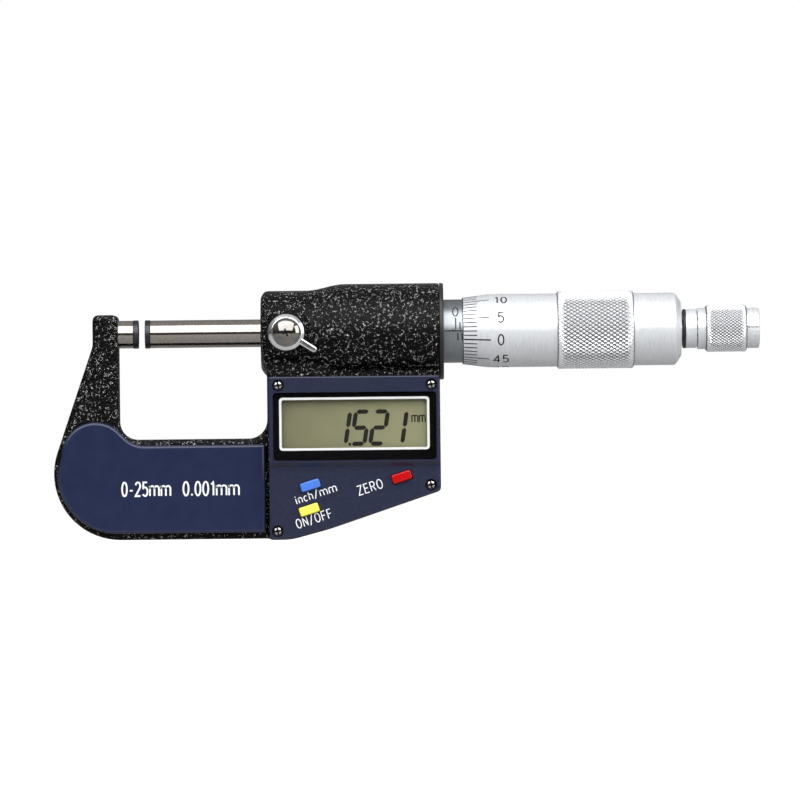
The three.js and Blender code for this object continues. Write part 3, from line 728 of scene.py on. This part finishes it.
def add_floor():
    """A pale floor below the object, which the camera sees as bright as the white room."""
    look = Look("pale_floor", roughness=0.9)
    level = look.noise(0.002)
    look.colour(look.ramp(level, [(0.3, (156, 156, 156)), (0.7, (161, 161, 161))]))
    look.shader.inputs["Emission Color"].default_value = (1, 1, 1, 1)
    seen = look.node("LightPath").outputs["Is Camera Ray"]
    look.link(seen, look.shader.inputs["Emission Strength"])
    half = FLOOR_SIZE / 2
    level_z = FRAME[2][0] - FLOOR_BELOW
    mesh = bpy.data.meshes.new("floor")
    corners = [(-half, -half), (half, -half), (half, half), (-half, half)]
    mesh.from_pydata([at_axis(x, y, level_z) for x, y in corners], [], [(0, 1, 2, 3)])
    mesh.materials.append(look.material)
    add_object("floor", mesh)


scene.view_settings.view_transform = "Standard"
add_camera()
add_world()
add_floor()
add_softbox("key_light", at=(20, -580, 560), size=(1500, 960), watts=15)
add_softbox("side_light", at=(900, -300, 250), size=(400, 600), watts=3)

# ---- Frame ----

CAST_VOXEL = 0.36


def cover_outline(margin, top):
    """The cover's outline up to a level, drawn in by a margin, or out where that is negative."""
    (left, right), _, (bottom, _) = COVER
    bend, turn_x, turn_z, corner_z = left + 5.0, left + 14.0, bottom + 2.4, bottom + 11.1
    slope = math.atan2(corner_z - turn_z, right - turn_x)
    return rounded([
        (left + margin, bottom + margin, 0.6), (bend - 0.14 * margin, bottom + margin, 14),
        (turn_x - 0.3 * margin, turn_z + 0.95 * margin, 60),
        (right - margin, corner_z + margin / math.cos(slope) - margin * math.tan(slope), 1),
        (right - margin, top, 0.4), (left + margin, top, 0.4),
    ])


def bow_outline():
    left, bottom = span("anvil")[0][0] - 1.0, FRAME[2][0] + 0.3
    return rounded([
        (left - (ARM_BEND_Z - bottom) * ARM_SLOPE, bottom, 15.6),
        (COVER[0][0] + 5, bottom, 0), (COVER[0][0] + 5, -2, 0), (THROAT_RIGHT, -2, 0),
        (THROAT_RIGHT, THROAT_BOTTOM, 4.4), (ARM_RIGHT, THROAT_BOTTOM, 4.2),
        (ARM_RIGHT, 4.6, 1.3), (left, 4.6, 1.3), (left, ARM_BEND_Z, 4),
    ])


def cast_barrel():
    swell_start, swell_end = 39.6, 48.4
    swell = []
    for i in range(1, 12):
        t = i / 12
        rise = t * t * (3 - 2 * t)
        swell.append((swell_start + t * (swell_end - swell_start), BOSS_R + rise * (CHAMBER_R - BOSS_R)))
    return turned([
        (BOSS_LEFT, 0), (BOSS_LEFT, BOSS_R - 1.5), (BOSS_LEFT + 0.7, BOSS_R - 0.35),
        (BOSS_LEFT + 1.2, BOSS_R), (swell_start, BOSS_R),
        *swell,
        (swell_end, CHAMBER_R), (FRAME[0][1], CHAMBER_R), (FRAME[0][1], 0),
    ])


def frame_casting():
    bay_back = BAY_HALF_DEPTH - BAY_WALL
    battery_at = (BATTERY_X, BATTERY_Z)
    posts = [pin(middle(name), -BAY_HALF_DEPTH - 2, BAY_HALF_DEPTH, 1.9) for name in SCREWS]
    cavity = cut(slab(cover_outline(BAY_WALL - BAY_MARGIN, -12.4), -BAY_HALF_DEPTH - 1, bay_back), *posts)
    whole = joined(
        slab(bow_outline(), -FRAME_HALF_DEPTH, FRAME_HALF_DEPTH, FRAME_EDGE, FRAME_EDGE),
        slab(cover_outline(-BAY_MARGIN, 0), -BAY_HALF_DEPTH, BAY_HALF_DEPTH, 0.4, 0.4),
        cast_barrel(),
    )
    tools = [
        cavity,
        rod(ARM_RIGHT - 5.2, ARM_RIGHT + 1, SPINDLE_R + 0.05),
        rod(BOSS_LEFT - 1, 50, SPINDLE_R + 0.15),
        rod(49.5, FRAME[0][1] + 1, 9.4),
        pin((LOCK_X, 0), -BOSS_R - 1, 0, 2.15),
        pin((LOCK_X, 0), -BOSS_R - 2, LOCK_SEAT_Y, LOCK_SEAT_R, 96),
        slab(rectangle(49.3, 51.3, -13, -8.5), -1.5, 1.5),
        pin(battery_at, 0, BAY_HALF_DEPTH + 1, 6.9, 96),
        pin(battery_at, BAY_HALF_DEPTH - 0.7, BAY_HALF_DEPTH + 1, 7.9, 96),
    ]
    steps = [
        ("REMESH", {"mode": "VOXEL", "voxel_size": CAST_VOXEL}),
        ("SMOOTH", {"factor": 0.5, "iterations": 5}),
    ]
    return combined(whole, steps + [boolean("DIFFERENCE", tool) for tool in tools])


new_piece("frame_casting", frame_casting(), "frame", "enamel", "frame", sharp=40)


PLATE_TOP = -26.1
PLATE_EDGE = 0.75


def grip_plate(front, back, front_edge, back_edge):
    left, right = span("grip_plate_front")[0]
    bottom = span("grip_plate_front")[2][0]
    top = PLATE_TOP
    lobe = (-10.2, -28.4)
    lobe_r = 7.9
    corner_r = 14.1
    corner = (left + corner_r, bottom + corner_r)
    shoulder = 2.6
    diagonal = lobe_r * math.sqrt(0.5)
    foot_x = lobe[0] + diagonal - (top - (lobe[1] + diagonal))
    start = Vector((foot_x + shoulder, top))
    bend = Vector((foot_x, top))
    end = Vector((foot_x - shoulder * math.sqrt(0.5), top + shoulder * math.sqrt(0.5)))
    curve = []
    for i in range(9):
        t = i / 8
        curve.append(tuple(start * (1 - t) ** 2 + bend * 2 * t * (1 - t) + end * t ** 2))
    lobe_points = arc(*lobe, lobe_r, lobe_r, 45, 180, 24)
    corner_points = arc(*corner, corner_r, corner_r, 180, 270, 32)
    points = [(right, top), *curve, *lobe_points, *corner_points, (right, bottom)]
    tidy = [p for i, p in enumerate(points) if math.dist(p, points[i - 1]) > 0.02]
    return slab(tidy, front, back, front_edge, back_edge)


_, (plate_front, plate_inner), _ = span("grip_plate_front")
_, (plate_back_inner, plate_back), _ = span("grip_plate_back")
front_plate = grip_plate(plate_front, plate_inner, PLATE_EDGE, 0.1)
back_plate = grip_plate(plate_back_inner, plate_back, 0.1, PLATE_EDGE)
for side, plate in (("front", front_plate), ("back", back_plate)):
    cad_plate = "grip_plate_" + side
    new_piece(cad_plate + "_moulding", plate, "frame", "navy_plastic", cad_plate, look="navy_gloss")

grip_text = bmesh.new()
add_text(grip_text, "0-25mm", (1.65, -36.3), 3.2, 0.4, on_face(plate_front), width=11.3, gap=0.25)
add_text(grip_text, "0.001mm", (16.85, -36.3), 3.2, 0.4, on_face(plate_front), width=13.0, gap=0.25)
new_piece("grip_lettering", grip_text, "frame", "navy_plastic", look="white_ink")

# ---- Anvil and spindle ----


def chamfered_rod(left, right, r, chamfer, segments):
    profile = [(left, 0, 0), (left, r, chamfer), (right, r, chamfer), (right, 0, 0)]
    return turned(rounded(profile, closed=False), segments)


def measuring_tip(node):
    (left, right), _, (_, r) = span(node)
    return chamfered_rod(left, right, r, 0.12, 96)


anvil_shaft = chamfered_rod(*span("anvil")[0], SPINDLE_R, 0.1, 128)
new_piece("anvil_shaft", anvil_shaft, "frame", "ground_steel", "anvil")
new_piece("anvil_carbide", measuring_tip("anvil_tip"), "frame", "carbide", "anvil_tip")
new_piece("spindle_carbide", measuring_tip("spindle_tip"), "spindle", "carbide", "spindle_tip")


def spindle_shaft():
    (left, right), _, _ = span("spindle")
    thread_left, thread_right = THREAD_SPAN
    thread = []
    x = thread_left + THREAD_PITCH
    while x < thread_right - THREAD_PITCH:
        thread += [(x, THREAD_R - 0.3), (x + THREAD_PITCH / 2, THREAD_R)]
        x += THREAD_PITCH
    shape = turned([
        (left, 0), (left, SPINDLE_R - 0.1), (left + 0.1, SPINDLE_R),
        (thread_left - 1.4, SPINDLE_R), (thread_left - 1.4, 3), (thread_left, 3),
        *thread,
        (thread_right, 3.45), (120, 3.45), (right, 3), (right, 1.45), (113, 1.45), (113, 0),
    ], 96)
    keyway = slab(rectangle(29.7, 59.5, -0.45, 0.45), -SPINDLE_R - 1, -SPINDLE_R + 0.65)
    return cut(shape, turn(keyway, "X", -130))


new_piece("spindle_shaft", spindle_shaft(), "spindle", "ground_steel", "spindle")

# ---- Sleeve, thimble and their scales ----

SCALE_ZERO = 74.53
SCALE_LENGTH = 25
DIVISIONS = 50
ZERO_ABOVE = -2.1 * FULL_TURN / DIVISIONS  # where the thimble's zero stands, round from the index line
ENGRAVED = 0.25


def sleeve_scale():
    place = on_cylinder(SLEEVE_R)
    marks = bmesh.new()
    add_ribbon(marks, [(SLEEVE[0][0] + 1.9, 0), (SCALE_ZERO + SCALE_LENGTH + 2, 0)], 0.24, place)
    for mm in range(SCALE_LENGTH + 1):
        x = SCALE_ZERO + mm
        fifth = mm % 5 == 0
        add_ribbon(marks, [(x, 0.4), (x, 3.2 if fifth else 2.05)], ENGRAVED, place)
        if mm < SCALE_LENGTH:
            add_ribbon(marks, [(x + 0.5, -0.5), (x + 0.5, -2.3)], ENGRAVED, place)
        if fifth:
            add_text(marks, str(mm), (x - 0.05, 4.85), 2.5, 0.24, place, gap=0.2)
    return marks


def sleeve_tube():
    left, right = SLEEVE[0]
    bore = 7.0
    profile = rounded([(left, bore, 0), (right, bore, 0), (right, SLEEVE_R, 0.15), (left, SLEEVE_R, 0.1)])
    return cut(turned(profile, 160), pin((74, 0), 0, SLEEVE_R + 1, 0.8))


# The sleeve's look is satin chrome darkened with painted shade.
new_piece("sleeve_tube", sleeve_tube(), "frame", "satin_chrome", "sleeve", look="sleeve_chrome_painted_shade")
new_piece("sleeve_scale", sleeve_scale(), "frame", "satin_chrome", look="black_ink_and_shade")


def thimble_scale():
    marks = bmesh.new()
    start = THIMBLE[0][0] + 0.3
    for i in range(DIVISIONS):
        v = (ZERO_ABOVE + i * FULL_TURN / DIVISIONS) * THIMBLE_R
        long = i % 5 == 0
        end = BEVEL_END + (0.35 if i == 0 else 0) if long else start + 3.1
        add_ribbon(marks, [(start, v), (end, v)], 0.34 if i == 0 else ENGRAVED, on_thimble)
        if long:
            add_text(marks, str(i), (85.1, v), 2.5, 0.33, on_thimble, gap=0.3)
    return marks


def knurled_band(limits, r, core_r, pitch, around, depth, samples=6):
    """A ring with a knurled outside: crossed helical grooves leave rows of small pyramids."""
    band_left, band_right = limits
    left, right = band_left + 0.4, band_right - 0.4
    columns = round((right - left) / pitch) * samples
    rows = around * samples
    mesh_data = bmesh.new()

    def ring_at(place, radius_of):
        points = [round_axis(place, radius_of(j), FULL_TURN * j / rows) for j in range(rows)]
        return [mesh_data.verts.new(point) for point in points]

    def groove(t):
        return 1 - abs(2 * (t % 1) - 1)

    def pyramid(i):
        fade = min(1.0, i / samples, (columns - i) / samples)

        def radius_of(j):
            height = min(groove((i + j) / samples), groove((i - j) / samples))
            return r - depth * (1 - min(1.0, 1.3 * height)) * (0.35 + 0.65 * fade)
        return radius_of

    side = [(0, core_r), (0, r - 0.45), (0.27, r - 0.15)]
    rings = [ring_at(band_left + inward, lambda j, value=radius: value) for inward, radius in side]
    first = len(rings)
    rings += [ring_at(left + (right - left) * i / columns, pyramid(i)) for i in range(columns + 1)]
    for inward, radius in reversed(side):
        rings.append(ring_at(band_right - inward, lambda j, value=radius: value))
    for i, (here, beyond) in enumerate(zip(rings, rings[1:])):
        column = i - first
        for j in range(rows):
            k = (j + 1) % rows
            corners = [here[j], here[k], beyond[k], beyond[j]]
            if not 0 <= column < columns:
                split = [(0, 1, 2, 3)]
            elif (column + j + 1) % (samples // 2) == 0:
                split = [(0, 1, 3), (1, 2, 3)]
            else:
                split = [(0, 1, 2), (0, 2, 3)]
            for face in split:
                mesh_data.faces.new([corners[n] for n in face])
    bridge(mesh_data, rings[-1], rings[0])
    return mesh_data


def thimble_barrel():
    left, right = THIMBLE[0]
    return turned([
        (left, THIMBLE_BORE_R), (left, BEVEL_R), (BEVEL_END - 0.2, THIMBLE_R - 0.03),
        (BEVEL_END + 0.3, THIMBLE_R), (KNURL_SPAN[1] - 0.3, THIMBLE_R),
        (KNURL_SPAN[1] - 0.3, THIMBLE_REAR_R), (125.8, THIMBLE_REAR_R), (126.15, 8.35),
        (126.4, 8.05), (right, 6.4), (right, 3.06), (125.4, 3.06), (120, 3.55), (119.6, 3.55),
        (119.6, THIMBLE_BORE_R),
    ], 192)


thimble_band = knurled_band(KNURL_SPAN, KNURL_R, core_r=8.2, pitch=1.49, around=58, depth=KNURL_DEPTH)
new_piece("thimble_barrel", thimble_barrel(), "spindle", "satin_chrome", "thimble", sharp=24)
new_piece("thimble_knurled_band", thimble_band, "spindle", "satin_chrome", sharp=24, look="thimble_knurl")
new_piece("thimble_scale", thimble_scale(), "spindle", "satin_chrome", look="black_ink_and_shade")


# Painted shadow: a thin black ring at the thimble's leading edge stands in for the shade in the gap there.
def leading_edge():
    left = THIMBLE[0][0]
    start, end = left + 0.02, left + 0.24
    inside, outside = BEVEL_R - 0.1, BEVEL_R + PROUD
    return turned([(start, inside), (start, outside), (end, outside + 0.03), (end, inside)], 160)


new_piece("thimble_edge_painted_shade", leading_edge(), "spindle", "satin_chrome", look="black_ink_and_shade")


def encoder_ring():
    (left, right), _, (_, r) = span("encoder_cover")
    profile = rounded([(left, 7.6, 0), (right, 7.6, 0.15), (right, r, 0.4), (left, r, 0.1)])
    return turned(profile, 160)


new_piece("encoder_ring", encoder_ring(), "frame", "black_plastic", "encoder_cover")

# ---- Ratchet stop ----


def ratchet_grip():
    left, right = KNOB[0]
    collar_r, end_r = 4.85, 4.73
    shape = turned([
        (139.1, 2.05), (139.1, 4.1), (left, 4.1), (left, collar_r - 0.1), (left + 0.1, collar_r),
        (KNOB_GRIP[0] + 0.3, collar_r), (KNOB_GRIP[0] + 0.3, end_r), (right - 0.4, end_r),
        (right - 0.12, end_r - 0.12), (right, end_r - 0.4), (right, 3.3), (142.8, 3.3),
        (142.8, 2.05),
    ])
    notch = slab(rectangle(KNOB_GRIP[1] - 0.2, right + 1, -0.35, 0.35), -end_r - 1, -end_r + 0.5)
    return cut(shape, notch)


def ratchet_collar():
    """The driven ring of the ratchet, with saw-shaped teeth on its right face."""
    (left, crest), _, (_, r) = span("ratchet_base")
    bore = 1.35
    profile = rounded([(left, bore, 0), (RATCHET_FACE, bore, 0), (RATCHET_FACE, r, 0.12), (left, r, 0.45)])
    inner, outer, teeth = 2.3, 3.75, 12
    saws = []
    for i in range(teeth):
        tooth = bmesh.new()
        start, end = FULL_TURN * i / teeth, FULL_TURN * (i + 0.96) / teeth
        places = [(RATCHET_FACE - 0.3, start), (RATCHET_FACE - 0.3, end), (crest, end)]
        rims = []
        for radius in (inner, outer):
            rims.append([tooth.verts.new(round_axis(x, radius, angle)) for x, angle in places])
        tooth.faces.new(rims[0])
        tooth.faces.new(reversed(rims[1]))
        bridge(tooth, rims[0], rims[1])
        bmesh.ops.recalc_face_normals(tooth, faces=tooth.faces)
        saws.append(tooth)
    return united(turned(profile, 128), joined(*saws))


def ratchet_screw():
    right = span("ratchet_screw")[0][1]
    shape = turned([
        (114, 0), (114, 1.2), (132.6, 1.2), (132.6, 1.85), (142.95, 1.85), (142.95, 2.9),
        (right - 0.4, 2.9), (right - 0.1, 2.6), (right, 2.1), (right, 0),
    ], 64)
    return cut(shape, slab(rectangle(right - 0.5, right + 1, -3.2, 3.2), -0.35, 0.35))


knob_band = knurled_band(KNOB_GRIP, KNOB_R, core_r=4.5, pitch=0.95, around=46, depth=KNOB_DEPTH)
new_piece("ratchet_grip", ratchet_grip(), "ratchet", "satin_chrome", "ratchet_knob", sharp=24)
new_piece("ratchet_knurled_band", knob_band, "ratchet", "satin_chrome", sharp=24, look="knob_knurl")
new_piece("ratchet_collar", ratchet_collar(), "spindle", "satin_chrome", "ratchet_base")
# Painted shade: a thin black ring on the collar's left end stands in for the dark, shaded rim there.
base_left, base_r = span("ratchet_base")[0][0], span("ratchet_base")[2][1]
rim_shade_ring = turned(rounded([
    (base_left, base_r - 0.6, 0), (base_left + 0.8, base_r - 0.6, 0),
    (base_left + 0.8, base_r + 0.05, 0.1), (base_left, base_r + 0.05, 0.35),
]))
new_piece("ratchet_rim_shade", rim_shade_ring, "spindle", "satin_chrome", look="black_plastic")
new_piece("ratchet_centre_screw", ratchet_screw(), "spindle", "plated_steel", "ratchet_screw")

# ---- Spindle lock ----

LEVER_TURN = -32


def lock_lever():
    _, (front, foot), _ = span("lock_lever")
    hub_r = 4.35
    at = (LOCK_X, 0)
    profile = rounded([
        (foot, 2.15, 0), (front, 2.15, 0), (front, 3.5, 0.3), (front + 0.75, hub_r, 0.7),
        (foot, hub_r, 0.2),
    ])
    hub = turned(profile, 96, at)
    arm_points = rounded([
        (LOCK_X + 2.6, -0.8, 0), (LOCK_X + 8.25, -0.75, 0.7), (LOCK_X + 8.25, 0.75, 0.7),
        (LOCK_X + 2.6, 0.8, 0),
    ])
    arm = tilt(slab(arm_points, front + 0.3, front + 1.4, 0.4, 0.3), at, LEVER_TURN)
    return united(hub, arm)


def lock_cap():
    _, (front, _), (_, r) = span("lock_cap_screw")
    seat = front + 1.35
    at = (LOCK_X, 0)
    dome_r = (r * r + 1.35 * 1.35) / (2 * 1.35)
    dome = []
    for i in range(13):
        angle = math.asin(r / dome_r) * i / 12
        dome.append((front + dome_r * (1 - math.cos(angle)), dome_r * math.sin(angle)))
    shape = turned([*dome, (seat, 1.35), (-9.2, 1.35), (-9.2, 0)], 96, at)
    return cut(shape, tilt(cross(at, front - 1, front + 0.6, 0.95, 0.2), at, 20))


new_piece("lock_lever_ring", lock_lever(), "lock_lever", "polished_chrome", "lock_lever")
# The dome's dark colour is a painted dark reflection.
new_piece("lock_cap_dome", lock_cap(), "lock_lever", "polished_chrome", "lock_cap_screw", look="cap_chrome_painted_dark_reflection")

# ---- Display cover and its screws ----

COVER_EDGE = 0.36


def cover_moulding():
    (left, right), _, (_, top) = COVER
    view = rectangle(*VIEW_OPENING, 0.3)
    bezel = grown(*WINDOW[0], *WINDOW[2], WINDOW_PLAY, 0.9)
    lower = slab(cover_outline(0, top), KEY_FACE, COVER_BACK, COVER_EDGE)
    raised_outline = rounded([
        (left + 0.02, STEP_Z, 0), (right - 0.02, STEP_Z, 0), (right - 0.02, top - 0.02, 0.4),
        (left + 0.02, top - 0.02, 0.4),
    ])
    raised = slab(raised_outline, DISPLAY_FACE, COVER_BACK - 0.2, COVER_EDGE)
    bevel = slab(rectangle(left - 1, right + 1, -2, 2), -2, 0)
    turn(bevel, "X", 45)
    bmesh.ops.translate(bevel, vec=(0, (DISPLAY_FACE + KEY_FACE) / 2, STEP_Z + 0.5), verts=bevel.verts)
    holes = [
        slab(bezel, DISPLAY_FACE - 1, WINDOW[1][1] + 0.05),
        slab(view, DISPLAY_FACE, COVER_BACK + 1),
    ]
    for name in KEYS:
        at = middle(name)
        hole = slab(centred(at, KEY_SIZE[0] + 0.3, KEY_SIZE[1] + 0.3, 0.35), DISPLAY_FACE, COVER_BACK + 1)
        holes.append(tilt(hole, at, KEY_TILT))
    for name in SCREWS:
        at = middle(name)
        face = DISPLAY_FACE if at[1] > STEP_Z else KEY_FACE
        holes.append(pin(at, DISPLAY_FACE - 1, face + 1.1, 1.4, 64))
        holes.append(pin(at, DISPLAY_FACE - 1, COVER_BACK + 1, 0.95))
    steps = [boolean("DIFFERENCE", bevel), boolean("UNION", lower)]
    return combined(raised, steps + [boolean("DIFFERENCE", hole) for hole in holes])


new_piece("cover_moulding", cover_moulding(), "frame", "navy_plastic", "display_cover")


def cover_screw(name):
    at = middle(name)
    _, (head, tail), _ = span(name)
    shape = turned([
        (head, 0), (head + 0.03, 0.5), (head + 0.12, 0.85), (head + 0.35, 1.1),
        (head + 0.5, 1.15), (head + 0.75, 1.15), (head + 0.75, 0.7), (tail, 0.7), (tail, 0),
    ], 48, at)
    return cut(shape, tilt(cross(at, head - 1, head + 0.65, 0.86, 0.2), at, 12))


# Painted shadow: black pins behind each screw's cross recess stand in for the shade inside it.
recess_shade_pins = []
for screw in SCREWS:
    new_piece(screw + "_head", cover_screw(screw), "frame", "plated_steel", screw)
    screw_front = span(screw)[1][0]
    recess_shade_pins.append(pin(middle(screw), screw_front + 0.2, screw_front + 0.7, 0.88))
new_piece("cover_screw_recess_shade", joined(*recess_shade_pins), "frame", "plated_steel", look="black_print_and_shade")


def key_cap(name):
    at = middle(name)
    _, (front, _), _ = span(name)
    cap = slab(centred(at, *KEY_SIZE, 0.42), front, -6.5, 0.36)
    flange = slab(centred(at, KEY_SIZE[0] + 1.1, KEY_SIZE[1] + 1.1, 0.3), -6.9, -6.3)
    stem = pin(at, -6.6, -4.7, 0.8)
    return tilt(united(cap, flange, stem), at, KEY_TILT)


KEY_COLOURS = {"unit_button": "blue_key", "power_button": "yellow_key", "zero_button": "red_key"}
for key, key_slot in KEY_COLOURS.items():
    new_piece(key + "_cap", key_cap(key), key, key_slot, key)

labels = bmesh.new()
LABELS = [
    ("ZERO", (54.05, -36.35), 2.15, 5.9),
    ("inch/mm", (41.35, -37.8), 1.8, 9.9),
    ("ON/OFF", (40.85, -43.6), 2.1, 8.5),
]
for text, centre, height, width in LABELS:
    add_text(labels, text, centre, height, 0.22, on_face(KEY_FACE), width, KEY_TILT, gap=0.3)
new_piece("key_lettering", labels, "frame", "navy_plastic", look="white_ink")

# ---- Display ----


def loop_slab(outer, inner, front, back):
    return cut(slab(outer, front, back), slab(inner, front - 1, back + 1))


OPENING = (33.55, 67.6, -27.1, -15.8)  # inside the white line
LINE_WIDTH = 0.55
opening = rectangle(*OPENING, 0.5)
line_outer = grown(*OPENING, LINE_WIDTH, 0.8)
window_points = rectangle(*WINDOW[0], *WINDOW[2], 0.9)
window_back = WINDOW[1][1]
print_front = window_back - 0.05
pane = slab(window_points, WINDOW[1][0], print_front - 0.01, 0.1)
border = loop_slab(inset(window_points, 0.02), line_outer, print_front, window_back)
line = loop_slab(line_outer, opening, print_front, window_back)
new_piece("window_pane", pane, "frame", "window", "display_window")
new_piece("window_border_print", border, "frame", "black_plastic", look="black_print_and_shade")
new_piece("window_line_print", line, "frame", "window", look="white_ink")


def lcd_sheet():
    (left, right), (front, back), (bottom, top) = LCD
    wide = slab(rectangle(left, right, bottom + 0.4, top - 0.8, 0.2), front, back, 0.08, 0.08)
    tall = slab(rectangle(left + 2.4, right - 2, bottom, top, 0.2), front + 0.02, back - 0.02, 0.08, 0.08)
    return united(wide, tall)


new_piece("lcd_sheet", lcd_sheet(), "frame", "display_glass", "lcd_panel")

READING = "1521"
FIRST_DIGIT = 47.5
DIGIT_STEP = 4.42
DIGIT_HEIGHT = 8.5
DIGIT_BASE = -26.7
DIGIT_WIDTH = 3.05
SEGMENT = 1.0
SLANT = math.tan(math.radians(8.8))
# The segments lit for each digit: top, upper left, upper right, middle, lower left, lower right and bottom.
LIT = {"1": (0, 0, 1, 0, 0, 1, 0), "5": (1, 1, 0, 1, 0, 1, 1), "2": (1, 0, 1, 1, 1, 0, 1)}
LEVELS = (SEGMENT / 2, DIGIT_HEIGHT / 2, DIGIT_HEIGHT - SEGMENT / 2)
# The two ends of each segment, as the side and the level that they are on.
SEGMENT_ENDS = [
    ((-1, 2), (1, 2)), ((-1, 1), (-1, 2)), ((1, 1), (1, 2)), ((-1, 1), (1, 1)),
    ((-1, 0), (-1, 1)), ((1, 0), (1, 1)), ((-1, 0), (1, 0)),
]


def lcd_segments():
    """The lit segments of the reading and its decimal point, printed on the sheet."""
    shapes = []
    gap = 0.07
    centres = [FIRST_DIGIT + i * DIGIT_STEP for i in range(len(READING))]
    front = LCD[1][0] - 0.03
    for centre, digit in zip(centres, READING):
        for lit, ends in zip(LIT[digit], SEGMENT_ENDS):
            if not lit:
                continue
            start, end = [Vector((side * DIGIT_WIDTH / 2, LEVELS[level])) for side, level in ends]
            way = (end - start).normalized()
            across = Vector((-way.y, way.x)) * SEGMENT / 2
            a, b = start + way * gap, end - way * gap
            inner = SEGMENT / 2
            after, before = a + way * inner, b - way * inner
            corners = [a, after - across, before - across, b, before + across, after + across]
            points = [(centre + p.x + (p.y - LEVELS[1]) * SLANT, DIGIT_BASE + p.y) for p in corners]
            shapes.append(slab(points, front, front + 0.01))
    shapes.append(slab(centred((49.45, -26.3), 0.6, 0.65, 0.1), front, front + 0.01))
    return joined(*shapes)


unit_text = bmesh.new()
add_text(unit_text, "mm", (65.6, -20.15), 2.2, 0.3, on_face(LCD[1][0] - 0.01), width=3.1, gap=0.25)
new_piece("lcd_digits", lcd_segments(), "frame", "display_glass", look="segment_ink")
new_piece("lcd_unit", unit_text, "frame", "display_glass", look="segment_ink")

# ---- Battery cover ----


def battery_lid():
    _, (inner, outer), _ = span("battery_cover")
    at = (BATTERY_X, BATTERY_Z)
    seat = outer - 1.05
    plug_r, flange_r = 6.0, 7.7
    rim = [(seat, plug_r, 0), (seat, flange_r, 0.1), (outer, flange_r, 0.35)]
    profile = rounded([(inner, 0, 0), (inner, plug_r, 0.2), *rim, (outer, 0, 0)], closed=False)
    slot = slab(centred(at, 9.6, 1.6, 0.79), seat + 0.15, outer + 1)
    return cut(turned(profile, 128, at), slot)


new_piece("battery_lid", battery_lid(), "battery_cover", "black_plastic", "battery_cover")

# ---- The CAD pieces that stay ----

for part in frame["record"]["subparts"]:
    node = frame["nodes"][part["node"]]
    if not node.hide_render:
        node.data.materials.clear()
        node.data.materials.append(LOOKS[part["material_slot"]])
